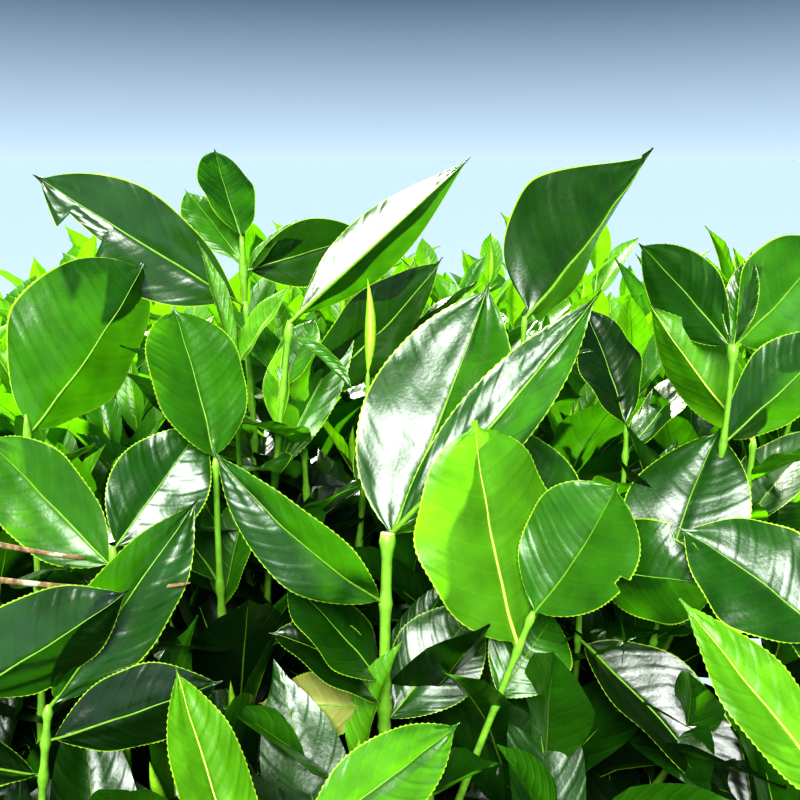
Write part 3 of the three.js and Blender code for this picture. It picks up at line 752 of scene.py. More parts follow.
@lru_cache
def grown_masses(shoots, inner_shoots):
    """Every mass with its wood, twigs, leaves and buds."""
    masses = {name: Mass(name) for name in MASSES}
    for number, shoot in enumerate(TALL_SHOOTS):
        masses["front"].add_tall_shoot(number, *shoot)
    for n in range(shoots):
        foot = shoot_foot(n)[0]
        masses[owner_of(foot[0], foot[1])[0]].add_shoot(n)
    for n in range(inner_shoots):
        foot = inner_foot(n)[0]
        masses[owner_of(foot[0], foot[1])[0]].add_shoot(n, inner=True)
    return masses


# Meshes


def grid_faces(rows, columns, wrap=False):
    """The quads of a grid whose points are numbered row by row. A wrapped grid joins its last column to its
    first."""
    row, column = np.meshgrid(np.arange(rows - 1), np.arange(columns - (not wrap)), indexing="ij")
    following = (column + 1) % columns
    corners = (
        row * columns + column,
        row * columns + following,
        (row + 1) * columns + following,
        (row + 1) * columns + column,
    )
    return np.stack(corners, -1).reshape(-1, 4)


class Sheaf:
    """Collects points, faces, UVs and face materials of many like shapes, and puts them into one mesh."""

    def __init__(self):
        self.points, self.faces, self.uvs, self.slots = [], [], [], []
        self.count = 0

    def add(self, points, faces, uv, slots):
        """points is (shapes, points of each, 3) in mm, faces the corners in one shape, uv (points of each,
        2) and slots the material of each face, for one shape or for each."""
        shapes, each = points.shape[:2]
        offsets = self.count + each * np.arange(shapes)
        self.faces.append((faces[None] + offsets[:, None, None]).reshape(-1, faces.shape[1]))
        self.points.append(points.reshape(-1, 3))
        self.uvs.append(np.tile(uv, (shapes, 1)))
        self.slots.append(np.broadcast_to(slots, (shapes, len(faces))).reshape(-1))
        self.count += shapes * each

    def close(self, faces, slots):
        """Adds faces between points that are there already."""
        self.faces.append(faces)
        self.slots.append(np.broadcast_to(slots, len(faces)))

    def piece(self, name, materials, slot, *nodes):
        """The object at the origin, smooth, riding on the bush and standing for its nodes."""
        mesh = bpy.data.meshes.new(name)
        points = np.concatenate(self.points) * MM
        corners = np.concatenate([faces.reshape(-1) for faces in self.faces])
        sizes = np.concatenate([np.full(len(faces), faces.shape[1]) for faces in self.faces])
        starts = np.concatenate([[0], np.cumsum(sizes)[:-1]])
        mesh.vertices.add(len(points))
        mesh.vertices.foreach_set("co", points.astype(np.float32).reshape(-1))
        mesh.loops.add(len(corners))
        mesh.loops.foreach_set("vertex_index", corners.astype(np.int32))
        mesh.polygons.add(len(sizes))
        mesh.polygons.foreach_set("loop_start", starts.astype(np.int32))
        mesh.polygons.foreach_set("material_index", np.concatenate(self.slots).astype(np.int32))
        mesh.polygons.foreach_set("use_smooth", np.ones(len(sizes), bool))
        uv_layer = mesh.uv_layers.new(name="UVMap")
        uv_layer.data.foreach_set("uv", np.concatenate(self.uvs)[corners].astype(np.float32).reshape(-1))
        for finish in materials:
            mesh.materials.append(material(finish))
        mesh.update(calc_edges=True)
        mesh.validate()
        piece = bpy.data.objects.new(name, mesh)
        bpy.context.scene.collection.objects.link(piece)
        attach(piece, "root")
        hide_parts(*nodes)


def normals_along(paths):
    """Two normals at each point of paths (shapes, steps, 3), square to the path and to each other. They come
    from one fixed direction for each path, the axis that it runs along least."""
    tangents = unit(np.gradient(paths, axis=1))
    run = np.abs(paths[:, -1] - paths[:, 0])
    fixed = np.eye(3)[np.argmin(run, axis=1)][:, None, :]
    first = unit(np.cross(tangents, fixed))
    return first, np.cross(tangents, first)


def carried_rings(paths, radii, sides):
    """A round profile carried along paths: each point is the path's, plus the radius times the turn's cosine
    along one normal and its sine along the other. radii broadcasts to (shapes, steps, sides)."""
    first, second = normals_along(paths)
    turn = ring_turns(sides)
    round_ = np.cos(turn)[:, None] * first[:, :, None] + np.sin(turn)[:, None] * second[:, :, None]
    return paths[:, :, None] + round_ * radii[..., None]


def ring_turns(sides):
    """The angles of a round profile's points."""
    return 2 * np.pi * np.arange(sides) / sides


def ring_uv(steps, sides):
    """UV of a carried profile: round it, then along it."""
    along, around = np.meshgrid(np.linspace(0, 1, steps), np.arange(sides) / sides, indexing="ij")
    return np.stack([around, along], -1).reshape(-1, 2)


def cap_faces(steps, sides):
    """The flat end faces of a carried profile, the first one turned to face back."""
    ring = np.arange(sides)
    return np.stack([ring[::-1], (steps - 1) * sides + ring])


def bark_relief(turn, along, seed, ridges):
    """Bark from 0 to 1: ridges that wander round the limb, broken along it, with fine lumps. Each term is a
    sine of the turn or the way along, shifted by sines of the other and by the seed's numbers."""
    a, b, c, d = 6 * np.random.default_rng(seed).random(4)
    wander = 0.7 * np.sin(5 * along + a) + 0.4 * np.sin(13 * along + b)
    ridge = np.abs(np.sin(0.5 * ridges * turn + wander))
    broken = 0.5 + 0.5 * np.sin(38 * along + 3 * np.sin(2 * turn + c) + d)
    lumps = 0.5 + 0.5 * np.sin(97 * along + 2.2 * np.sin(5 * turn)) * np.sin(ridges * turn + 4 * wander)
    return 0.6 * ridge + 0.25 * ridge * broken + 0.15 * lumps


def knuckles(along, turn, seed):
    """Swellings of healed pruning cuts: bell-shaped bumps, higher on one side, at places dealt by the
    seed."""
    rng = np.random.default_rng(seed)
    places = rng.uniform(0.1, 0.95, KNUCKLES)
    sides = rng.uniform(0, 2 * np.pi, KNUCKLES)
    sizes = rng.uniform(0.5, 1, KNUCKLES)
    total = np.zeros(np.broadcast(along, turn).shape)
    for place, side, size in zip(places, sides, sizes):
        bell = np.exp(-(((along - place) / KNUCKLE_REACH) ** 2))
        total = total + size * bell * (0.35 + np.cos((turn - side) / 2) ** 4)
    return total


def limb_piece(name, points, grid, finish, slot, node):
    """A bole or bough from its rings of points, with closed ends."""
    sheaf = Sheaf()
    sheaf.add(points.reshape(1, -1, 3), grid_faces(*grid, wrap=True), ring_uv(*grid), 0)
    sheaf.close(cap_faces(*grid), 0)
    sheaf.piece(name, [finish], slot, node)


def make_bole(relief):
    """The bole: level rings from the ground to its rounded head. The radius is the plain one, times a flare
    that fades with the cube of the height, times root lobes, plus bark and healed cuts."""
    steps, sides = BOLE_GRID
    levels = np.linspace(0, 1, steps)[:, None]
    turn = ring_turns(sides)[None]
    flare = (1 - levels) ** 3
    lobes = 1 + sum(
        depth * (0.25 + flare) * np.cos(count * turn + shift + levels) for count, depth, shift in ROOT_LOBES
    )
    rounding_from, rounding_over = BOLE_ROUNDING
    inwards = np.clip(levels - rounding_from, 0, 1) / rounding_over
    head = np.sqrt(np.clip(1 - inwards**2, 0.08, 1))
    radius = BOLE_RADIUS * head * (1 + BOLE_FLARE * flare) * lobes
    radius = radius + relief * METRE * (bark_relief(turn, levels, 3, BOLE_RIDGES) - 0.6)
    radius = radius + BOLE_KNUCKLES * knuckles(levels, turn, 5)
    x = BOLE_LEAN[0] * levels**2 + radius * np.cos(turn)
    y = BOLE_LEAN[1] * levels**2 + radius * np.sin(turn)
    z = np.broadcast_to(BOLE_HEIGHT * levels, x.shape)
    limb_piece("bark_bole", np.stack([x, y, z], -1), BOLE_GRID, "bole bark", "bark", "bole")


def make_boughs(relief):
    """Each bough: a round profile carried along its curve. The radius falls evenly from root to tip, plus
    ridged bark and the knuckles of old cuts, which a limb pruned every few years has."""
    steps, sides = BOUGH_GRID
    along = np.linspace(0, 1, steps)[:, None]
    turn = ring_turns(sides)[None]
    for i, (carries, _, _, (root, tip)) in enumerate(BOUGHS):
        thickness = lerp(root, tip, along)
        bark_height = relief * METRE * (thickness / FULL_BARK_RADIUS)
        radius = thickness + bark_height * (bark_relief(turn, 3.2 * along, 20 + i, BOUGH_RIDGES) - 0.5)
        radius = radius + BOUGH_KNUCKLES * thickness * knuckles(along, turn, 40 + i)
        path = bough_curves()[carries].at(along[:, 0])[None]
        points = carried_rings(path, radius[None], sides)
        node = "bough_" + carries
        limb_piece("bark_" + node, points, BOUGH_GRID, "bough bark", "bough_bark", node)


def add_twigs(sheaf, twigs, grid, swelling=0.0):
    """Twigs as round profiles carried along their curves, brown below and green above, with a cut end. The
    radius falls evenly, plus a bell-shaped swelling at each leaf."""
    if not twigs:
        return
    steps, sides = grid
    along = np.linspace(0, 1, steps)
    paths = np.stack([twig.curve.at(along) for twig in twigs])
    radii = np.stack([lerp(*twig.radii, along) for twig in twigs])
    radii[:, -1] *= np.array([1 if twig.cut else TWIG_POINT for twig in twigs])
    for i, twig in enumerate(twigs):
        for node in twig.nodes:
            radii[i] += swelling * np.exp(-(((along - node) / SWELLING_REACH) ** 2))
    points = carried_rings(paths, np.repeat(radii[..., None], sides, -1), sides)
    faces = grid_faces(steps, sides, wrap=True)
    face_share = (faces[:, 0] // sides) / (steps - 1)
    woody = np.array([twig.woody for twig in twigs])[:, None]
    before = sheaf.count
    slots = np.where(face_share[None] >= woody, GREEN, BROWN)
    sheaf.add(points.reshape(len(twigs), -1, 3), faces, ring_uv(steps, sides), slots)
    ends = cap_faces(steps, sides)[1][None] + before + steps * sides * np.arange(len(twigs))[:, None]
    sheaf.close(ends, np.array([CUT if twig.cut else GREEN for twig in twigs]))


def make_twigs(masses):
    """For each mass its stem and branches, the twigs of its shoots, and at the front the dried-off twigs."""
    dry_twigs = [Twig(LimbCurve(*points), DRY_RADII, 1) for points in DRY_TWIGS]
    for name, mass in masses.items():
        sheaf = Sheaf()
        add_twigs(sheaf, mass.wood, STEM_GRID)
        add_twigs(sheaf, mass.twigs, TWIG_GRID, NODE_SWELLING)
        add_twigs(sheaf, mass.tall_twigs, TALL_GRID, TALL_SWELLING)
        if name == "front":
            add_twigs(sheaf, dry_twigs, DRY_GRID)
        sheaf.piece("twigs_" + name, TWIG_MATERIALS, "bough_bark", "foliage_" + name)


def leaf_frames(leaves):
    """Each leaf's axes: along its chord, to its left, and out of its upper side, after its roll."""
    x = unit(np.stack([leaf.heading for leaf in leaves]))
    upper = np.stack([leaf.upper for leaf in leaves])
    z = unit(upper - np.sum(upper * x, -1, keepdims=True) * x)
    y = np.cross(z, x)
    roll = np.radians([leaf.roll for leaf in leaves])[:, None]
    return x, y * np.cos(roll) + z * np.sin(roll), z * np.cos(roll) - y * np.sin(roll)


def rib_arc(length, arch, along):
    """A rib bent to a circular arc over its chord: how far along and above the chord, and the tilt there.
    A flat leaf has a very slight arc, since its radius has to be finite."""
    half = np.maximum(np.abs(arch), 0.02) / 2 * np.where(arch < 0, -1, 1)
    tilt = 2 * half * (along - 0.5)
    scale = length / (2 * np.sin(half))
    return scale * (np.sin(tilt) + np.sin(half)), scale * (np.cos(tilt) - np.cos(half)), tilt


def half_width(s, width, tip, shape):
    """Half the width of a blade at each share s of its length: a power of the way from the stalk times a
    power of the way to the tip, the second lower on a blunt leaf, and a small point at the end."""
    blade = np.clip((s - STALK) / (1 - STALK), 0.0, 1.0)
    widest = lerp(*FULLEST, shape) - np.where(tip > 1, 0.32, 0.1) * (tip - 1)
    toward_tip = lerp(0.5, 1.05, np.minimum(tip, 1.5))
    toward_stalk = toward_tip * widest / (1 - widest)
    body = np.clip(blade / (1 - TIP_SHARE), 0.003, 0.999)
    outline = (body / widest) ** toward_stalk * ((1 - body) / (1 - widest)) ** toward_tip
    point = TIP_WIDTH * np.clip((1 - blade) / (2 * TIP_SHARE), 0.1, 1)
    return 0.5 * width * np.where(blade > 1 - 2 * TIP_SHARE, np.maximum(outline, point), outline)


def vein_count(along, reach):
    """The lateral veins up to a place on a blade: whole numbers on veins, which run forward to the
    margin."""
    bow = 4 * along * (1 - along)
    return LATERAL_VEINS * (along - bow * (VEIN_SLANT[0] * reach + VEIN_SLANT[1] * reach**2))


def bulges(s, v, tip):
    """How far a blade bulges between its lateral veins, less by the rib, the margin and both ends, and most
    on a blunt leaf."""
    reach = np.abs(v)
    dome = np.abs(np.sin(np.pi * vein_count(s, reach))) ** 0.7
    room = np.clip(4 * reach, 0, 1) * np.clip(2.5 * (1 - reach), 0, 1) * np.clip(6 * s * (1 - s), 0, 1)
    return np.maximum(0, BLUNTNESS - tip) * dome * room


def dents(s, v, shape, curl, wave):
    """Broad dents here and there with finer ones among them, each a product of two slanting sines."""
    broad = np.sin(11 * s + 5 * v + 9 * curl) * np.sin(7 * v - 8 * s + 9 * wave)
    fine = np.sin(23 * s - 6 * v + 7 * wave) * np.sin(12 * v + 9 * s + 8 * shape)
    return BROAD_DENTS * broad + FINE_DENTS * fine


def column(leaves, name):
    """A field of all leaves, shaped to spread over their grids. A field of several numbers gives several."""
    return np.array([getattr(leaf, name) for leaf in leaves], float).T[..., None, None]


def leaf_points(leaves, along, across, tooth=0.0, bulge=0.0):
    """Points (leaves, rows, columns, 3) of leaf blades. Each half stands up from the rib by the fold, a
    little more at both ends, and levels out. Its margin curls and waves, and the blade bulges and is dented.
    It is twisted about its rib and swings to one side, and the rib is bent to an arc."""
    length, width, tip = (column(leaves, name) for name in ("length", "width", "tip"))
    arch, fold = (np.radians(column(leaves, name)) for name in ("arch", "fold"))
    shape, curl, wave, sickle = column(leaves, "looks")
    bite_from, bite_to, bite_side, bite_depth = column(leaves, "bite")
    s, v = along[None, :, None], across[None, None, :]
    reach = np.abs(v)
    eaten = (s > bite_from) & (s < bite_to) & (v * bite_side > 0)
    half = half_width(s, width, tip, shape) * (1 - bite_depth * eaten)
    on_tooth = (np.arange(len(along))[None, :, None] % 2) * (reach > 0.99)
    teeth = tooth * on_tooth * np.minimum(1, half / 6)
    folded = fold * (0.92 + 0.16 * (2 * s - 1) ** 2)
    y = np.sign(v) * (half * reach + teeth) * np.cos(folded)
    z = half * np.sin(folded) * reach * (1.12 - 0.18 * reach)
    z = z - half * lerp(*CURLS, curl) * reach**2
    waves = np.sin(2 * np.pi * (lerp(*MARGIN_WAVES, wave) * s + wave + 0.4 * (v > 0)))
    z = z + half * MARGIN_WAVE * reach**2 * waves
    z = z + length * (bulge * bulges(s, v, tip) + dents(s, v, shape, curl, wave))
    twist = np.radians(TWIST) * (2 * shape - 1) * (s - 0.4)
    y, z = y * np.cos(twist) - z * np.sin(twist), y * np.sin(twist) + z * np.cos(twist)
    y = y + SICKLE * (sickle - 0.5) * length * s * (1 - s)
    run, lift, tilt = rib_arc(length, arch, s)
    local = np.stack([run + z * np.sin(tilt), np.broadcast_to(y, z.shape), lift + z * np.cos(tilt)], -1)
    axes = np.stack(leaf_frames(leaves), 1)
    roots = np.stack([leaf.root for leaf in leaves])[:, None, None]
    return roots + np.einsum("nrck,nkd->nrcd", local, axes)


def rib_points(leaves, along, sides, radius):
    """Midribs (leaves, rows, sides, 3): a round profile carried along each blade's middle line. Its radius
    falls from the stalk to the tip and grows with the leaf."""
    middle = leaf_points(leaves, along, np.array([0.0]))[:, :, 0]
    scale = np.array([leaf.length for leaf in leaves])[:, None] / RIB_LEAF
    thickness = radius * scale * (1 - RIB_TAPER * along[None]) ** 0.9
    return carried_rings(middle, np.repeat(thickness[..., None], sides, -1), sides)


@dataclass
class LeafMake:
    """How finely leaves are made: rows along the blade, places across each half, the rib's rows, sides and
    radius, and the height of teeth in mm and of bulges as a share of the length."""

    rows: int
    across: tuple
    rib_rows: int
    rib_sides: int
    rib_radius: float
    tooth: float = 0.0
    bulge: float = 0.0


# Leaves that the rule grows have a few dozen faces, and the tall shoots' have teeth and bulges
PLAIN_LEAF = LeafMake(rows=12, across=(0.36, 0.74, 1), rib_rows=6, rib_sides=3, rib_radius=0.75)
TALL_LEAF = LeafMake(
    rows=73, across=(0.09, 0.2, 0.34, 0.5, 0.66, 0.82, 0.984, 1),
    rib_rows=32, rib_sides=6, rib_radius=1.0, tooth=0.5, bulge=0.004,
)


def leaves_piece(name, leaves, make, node):
    """Blades and ribs of many leaves. Where a blade has teeth, its outermost strips are its rim, painted
    pale as a highlight of the edge catching the light.
    """
    along = np.linspace(0, 1, make.rows)
    across = np.concatenate([-np.array(make.across[::-1]), [0.0], make.across])
    columns = len(across)
    faces = grid_faces(make.rows, columns)
    strip = faces[:, 0] % columns
    # The rim strips take the pale finish, a painted highlight of the edge.
    at_painted_lit_rim = ((strip == 0) | (strip == columns - 2)) & (make.tooth > 0)
    shades = np.array([leaf.shade for leaf in leaves])[:, None]
    side, place = np.meshgrid(across, along)
    uv = np.stack([vein_count(place, np.abs(side)), side], -1).reshape(-1, 2)
    blades = leaf_points(leaves, along, across, make.tooth, make.bulge)
    ribs = rib_points(leaves, np.linspace(0, RIB_END, make.rib_rows), make.rib_sides, make.rib_radius)
    rib_faces = grid_faces(make.rib_rows, make.rib_sides, wrap=True)
    rib_uv = ring_uv(make.rib_rows, make.rib_sides)
    # Young leaves' ribs take the pale rib, partly painted light.
    rib_slots = np.where(shades == YOUNG, PALE_RIB, RIB)
    sheaf = Sheaf()
    sheaf.add(blades.reshape(len(leaves), -1, 3), faces, uv, np.where(at_painted_lit_rim[None], PAINTED_LIT_RIM, shades))
    sheaf.add(ribs.reshape(len(leaves), -1, 3), rib_faces, rib_uv, rib_slots)
    sheaf.piece(name, LEAF_MATERIALS, "foliage", node)


def make_leaves(masses):
    """Each mass's leaves, those that the rule grows and those of the tall shoots apart."""
    for name, mass in masses.items():
        leaves_piece("leaves_" + name, mass.leaves, PLAIN_LEAF, "foliage_" + name)
        if mass.tall_leaves:
            leaves_piece("leaves_tall_" + name, mass.tall_leaves, TALL_LEAF, "foliage_" + name)


def make_buds(masses):
    """Buds: a round profile carried along a slight arc. The radius is a sine of a power of the way along, so
    that a bud is fullest below its middle and ends in a point."""
    steps, sides = BUD_GRID
    along = np.linspace(0, 1, steps)
    swell = np.sin(np.pi * np.clip(along, 0.03, 0.985) ** 0.75)
    for name, mass in masses.items():
        if not mass.buds:
            continue
        roots, headings, lengths, widths = (np.array(values) for values in zip(*mass.buds))
        sideways = unit(np.cross(headings, UP))[:, None]
        lengths = lengths[:, None]
        paths = roots[:, None] + headings[:, None] * (lengths * along)[..., None]
        paths = paths + sideways * (BUD_BEND * lengths * along * (1 - along))[..., None]
        radii = np.repeat((0.5 * widths[:, None] * swell)[..., None], sides, -1)
        points = carried_rings(paths, radii, sides).reshape(len(roots), -1, 3)
        sheaf = Sheaf()
        sheaf.add(points, grid_faces(steps, sides, wrap=True), ring_uv(steps, sides), 0)
        sheaf.piece("buds_" + name, ["bud"], "foliage", "foliage_" + name)


# Materials


def add_node(tree, kind, inputs=None, **settings):
    """One node with its settings. Its inputs are values or other nodes' sockets. Gives its outputs.

    A Map Range takes what it maps in 0, from where to where in 1 and 2, and onto what in 3 and 4. A Mix
    takes the share in 0 and its colours in 6 and 7, and gives the mixed colour in 2."""
    node = tree.nodes.new("ShaderNode" + kind)
    for name, value in settings.items():
        setattr(node, name, value)
    for name, value in (inputs or {}).items():
        if isinstance(value, bpy.types.NodeSocket):
            tree.links.new(value, node.inputs[name])
        else:
            node.inputs[name].default_value = value
    return node.outputs


def empty_material(name):
    made = bpy.data.materials.new(name)
    made.use_nodes = True
    made.node_tree.nodes.clear()
    return made, made.node_tree


def per_metre(size):
    """The Scale of a noise whose lumps are this many mm wide."""
    return METRE / size


def leaf_blade(name, face, glow, roughness, passing, wax):
    """A leaf's blade: a dark face under a waxy skin with white sheen, which glows where light is behind it.
    face and glow are the colours of the blade and of light that passes it, passing is the share of the light
    that does, and wax is the weight of the waxy skin. The UV's U counts the lateral veins."""
    made, tree = empty_material(name)
    place = add_node(tree, "TexCoord")
    at = place["Object"]
    veins = add_node(tree, "SeparateXYZ", {0: place["UV"]})["X"]
    # From 0 on a vein to 0.5 halfway to the next
    between = add_node(tree, "Math", {0: veins, 1: 0.5}, operation="PINGPONG")[0]
    blotches = add_node(tree, "TexNoise", {"Vector": at, "Scale": per_metre(BLOTCH_SIZE), "Detail": 3.0})[0]
    cells = add_node(tree, "TexNoise", {"Vector": at, "Scale": per_metre(CELL_SIZE), "Detail": 2.0})[0]
    # Paler on its veins, and lighter and darker in blotches
    pale = add_node(tree, "MapRange", {0: between, 1: 0.0, 2: 0.06, 3: 0.12, 4: 0.0})[0]
    patchy = add_node(tree, "MapRange", {0: blotches, 1: 0.3, 2: 0.7, 3: 0.78, 4: 1.18})[0]
    tone = add_node(tree, "Math", {0: pale, 1: patchy}, operation="ADD")[0]
    varied = add_node(tree, "HueSaturation", {"Value": tone, "Color": face})[0]
    lit = add_node(tree, "HueSaturation", {"Value": tone, "Color": glow})[0]
    # Sunk along its veins and grainy with cells
    cushion = add_node(tree, "MapRange", {0: between, 1: 0.0, 2: 0.3}, interpolation_type="SMOOTHERSTEP")[0]
    height = add_node(tree, "Math", {0: cells, 1: 0.7, 2: cushion}, operation="MULTIPLY_ADD")[0]
    bump = add_node(tree, "Bump", {"Strength": 0.32, "Distance": 0.0005, "Height": height})[0]
    least, most = roughness - 0.05, roughness + 0.08
    rough = add_node(tree, "MapRange", {0: cells, 1: 0.3, 2: 0.7, 3: least, 4: most})[0]
    surface = add_node(tree, "BsdfPrincipled", {
        "Base Color": varied, "Roughness": rough, "IOR": TISSUE_IOR, "Normal": bump, "Coat Weight": wax,
        "Coat Roughness": WAX_ROUGHNESS, "Coat IOR": WAX_IOR, "Coat Normal": bump,
    })[0]
    through = add_node(tree, "BsdfTranslucent", {"Color": lit, "Normal": bump})[0]
    both = add_node(tree, "MixShader", {0: passing, 1: surface, 2: through})[0]
    add_node(tree, "OutputMaterial", {"Surface": both})
    return made


def plain_tissue(name, colour, roughness, grain, passing=0.0):
    """Rib, rim, bud, stem or cut wood: one colour with a faint grain. passing is the share of the light that
    goes through it."""
    made, tree = empty_material(name)
    place = add_node(tree, "TexCoord")["Object"]
    noise = add_node(tree, "TexNoise", {"Vector": place, "Scale": per_metre(grain), "Detail": 3.0})[0]
    tone = add_node(tree, "MapRange", {0: noise, 1: 0.3, 2: 0.7, 3: 0.8, 4: 1.15})[0]
    varied = add_node(tree, "HueSaturation", {"Value": tone, "Color": colour})[0]
    bump = add_node(tree, "Bump", {"Strength": 0.4, "Distance": 0.0004, "Height": noise})[0]
    skin = {"Base Color": varied, "Roughness": roughness, "IOR": TISSUE_IOR, "Normal": bump}
    surface = add_node(tree, "BsdfPrincipled", skin)[0]
    if passing:
        through = add_node(tree, "BsdfTranslucent", {"Color": colour})[0]
        surface = add_node(tree, "MixShader", {0: passing, 1: surface, 2: through})[0]
    add_node(tree, "OutputMaterial", {"Surface": surface})
    return made


def bark(name, ridge, furrow, lichen, flake):
    """Bark: ridges, darker furrows and pale flecks of lichen, rough and dull all over. Its flakes are longer
    up the limb, and the flecks of lichen are twice their size."""
    made, tree = empty_material(name)
    place = add_node(tree, "TexCoord")["Object"]
    stretched = add_node(tree, "Mapping", {"Vector": place, "Scale": (1.0, 1.0, 0.35)})[0]
    broken = {"Vector": stretched, "Scale": per_metre(flake), "Detail": 6.0, "Roughness": 0.65}
    flakes = add_node(tree, "TexNoise", broken)[0]
    flecks = add_node(tree, "TexNoise", {"Vector": place, "Scale": per_metre(2 * flake), "Detail": 4.0})[0]
    shade = add_node(tree, "MapRange", {0: flakes, 1: 0.38, 2: 0.62})[0]
    wood = add_node(tree, "Mix", {0: shade, 6: furrow, 7: ridge}, data_type="RGBA")[2]
    patches = add_node(tree, "MapRange", {0: flecks, 1: 0.56, 2: 0.64, 3: 0.0, 4: 0.7})[0]
    colour = add_node(tree, "Mix", {0: patches, 6: wood, 7: lichen}, data_type="RGBA")[2]
    bump = add_node(tree, "Bump", {"Strength": 0.8, "Distance": 0.002, "Height": flakes})[0]
    surface = add_node(tree, "BsdfPrincipled", {"Base Color": colour, "Roughness": 0.88, "Normal": bump})[0]
    add_node(tree, "OutputMaterial", {"Surface": surface})
    return made


# Each finish: the function that makes it, its colours in the panel, and its numbers. Those are, for a blade,
# the roughness, the share of the light that passes and the wax. For tissue they are the roughness, the grain
# in mm and the share of the light that passes, and for bark the size of its flakes in mm.
FINISHES = {
    # Thin and tender: bright yellow-green against the light, with a soft shine
    "young leaf": (leaf_blade, ("young_face", "young_glow"), (0.42, 0.36, 0.35)),
    # Firmer, with the first of its wax: a mid green that still glows
    "fresh leaf": (leaf_blade, ("fresh_face", "fresh_glow"), (0.4, 0.34, 0.7)),
    # Leathery: deep green, with white sheen where it mirrors the light
    "full leaf": (leaf_blade, ("full_face", "full_glow"), (0.38, 0.3, 0.95)),
    # Thick and hard: the darkest green and the shiniest, and dull against the light
    "old leaf": (leaf_blade, ("old_face", "old_glow"), (0.36, 0.24, 1.0)),
    # Withered: straw-coloured and matt
    "dry leaf": (leaf_blade, ("dry_face", "dry_glow"), (0.6, 0.3, 0.05)),
    # The toothed rim: a thin pale line round dark leaves, a painted highlight of the edge catching the light
    "leaf rim": (plain_tissue, ("rim",), (0.4, 2.5, 0.28)),
    # Ribs: raised and a little paler than the blade, and pale yellow on young leaves, partly their own
    # colour and partly painted light, since a rib sits in its blade's shade
    "leaf rib": (plain_tissue, ("rib",), (0.4, 2.5, 0.3)),
    "pale rib": (plain_tissue, ("pale_rib",), (0.4, 2.5, 0.5)),
    # Rolled young leaves: pale, with a soft shine
    "bud": (plain_tissue, ("bud",), (0.45, 2.5, 0.25)),
    # Smooth green skin over wood, which lets no light through
    "green stem": (plain_tissue, ("green_stem",), (0.42, 4)),
    # A dry cut: pale and matt
    "cut wood": (plain_tissue, ("cut_wood",), (0.8, 2)),
    # Bark: flaky and matt, finest on the twigs and coarsest on the bole
    "twig bark": (bark, ("twig_ridge", "twig_furrow", "lichen"), (3.85,)),
    "bough bark": (bark, ("bough_ridge", "bough_furrow", "lichen"), (6.67,)),
    "bole bark": (bark, ("bole_ridge", "bole_furrow", "lichen"), (9.1,)),
}


@lru_cache
def material(name):
    """The finish of this name, made once, in the colours of the panel."""
    make, colours, numbers = FINISHES[name]
    chosen = bpy.context.scene.tea_bush_colours
    return make(name, *(getattr(chosen, colour) for colour in colours), *numbers)


# The stage


def place_lamp(lamp, place):
    """A lamp at its place, facing the middle of the crown."""
    holder = bpy.data.objects.new(lamp.name, lamp)
    holder.location = place
    holder.rotation_euler = (LAMPS_AIM - Vector(place)).to_track_quat("-Z", "Y").to_euler()
    bpy.context.scene.collection.objects.link(holder)


def make_floor():
    """A pale floor, wide enough to meet the air at the horizon."""
    mesh = bpy.data.meshes.new("floor")
    corners = [(x * FLOOR_REACH, y * FLOOR_REACH, 0) for x, y in ((-1, -1), (1, -1), (1, 1), (-1, 1))]
    mesh.from_pydata(corners, [], [(0, 1, 2, 3)])
    made, tree = empty_material("pale floor")
    surface = add_node(tree, "BsdfDiffuse", {"Color": linear(FLOOR_COLOUR)})[0]
    add_node(tree, "OutputMaterial", {"Surface": surface})
    mesh.materials.append(made)
    floor = bpy.data.objects.new("floor", mesh)
    bpy.context.scene.collection.objects.link(floor)


def make_world():
    """Pale air at the horizon that deepens overhead, so that the backdrop is light and the crown's inside
    dark."""
    world = bpy.data.worlds.new("studio")
    world.use_nodes = True
    tree = world.node_tree
    tree.nodes.clear()
    way = add_node(tree, "TexCoord")["Generated"]
    height = add_node(tree, "SeparateXYZ", {0: way})["Z"]
    share = add_node(tree, "MapRange", {0: height, 1: 0.0, 2: AIR_BAND})[0]
    air = add_node(tree, "Mix", {0: share, 6: linear(AIR_LOW), 7: linear(AIR_HIGH)}, data_type="RGBA")[2]
    background = add_node(tree, "Background", {"Color": air, "Strength": AIR_STRENGTH})[0]
    add_node(tree, "OutputWorld", {"Surface": background})
    bpy.context.scene.world = world


def make_lights():
    """A strong key light from high behind the bush, and a soft box before and over it."""
    key = bpy.data.lights.new("key", "SUN")
    key.energy, key.angle, key.color = SUN_STRENGTH, math.radians(SUN_WIDTH), SUN_COLOUR
    way = heading_of(*(math.radians(angle) for angle in SUN_WAY))
    place_lamp(key, LAMPS_AIM + 4 * Vector(way))
    box = bpy.data.lights.new("soft box", "AREA")
    box.shape, box.size, box.energy = "DISK", BOX_SIZE, BOX_WATTS
    place_lamp(box, BOX_PLACE)


def make_camera():
    """The camera at the front edge of the bush, just above its shoots."""
    lens = bpy.data.cameras.new("camera")
    lens.lens, lens.sensor_width, lens.sensor_height = CAMERA_LENS, SENSOR, SENSOR
    lens.clip_start, lens.clip_end = CAMERA_NEAR, 2 * FLOOR_REACH
    camera = bpy.data.objects.new("camera", lens)
    camera.location = CAMERA_PLACE
    camera.rotation_euler = (math.pi / 2 - math.radians(CAMERA_DOWN), 0, 0)
    bpy.context.scene.collection.objects.link(camera)
    bpy.context.scene.camera = camera


def make_stage():
    """Floor, air, lamps and camera, seen with more contrast than usual."""
    view =bpy.context.scene.view_settings
    view.view_transform, view.look = "Standard", "High Contrast"
    make_floor()
    make_world()
    make_lights()
    make_camera()


# The add-on


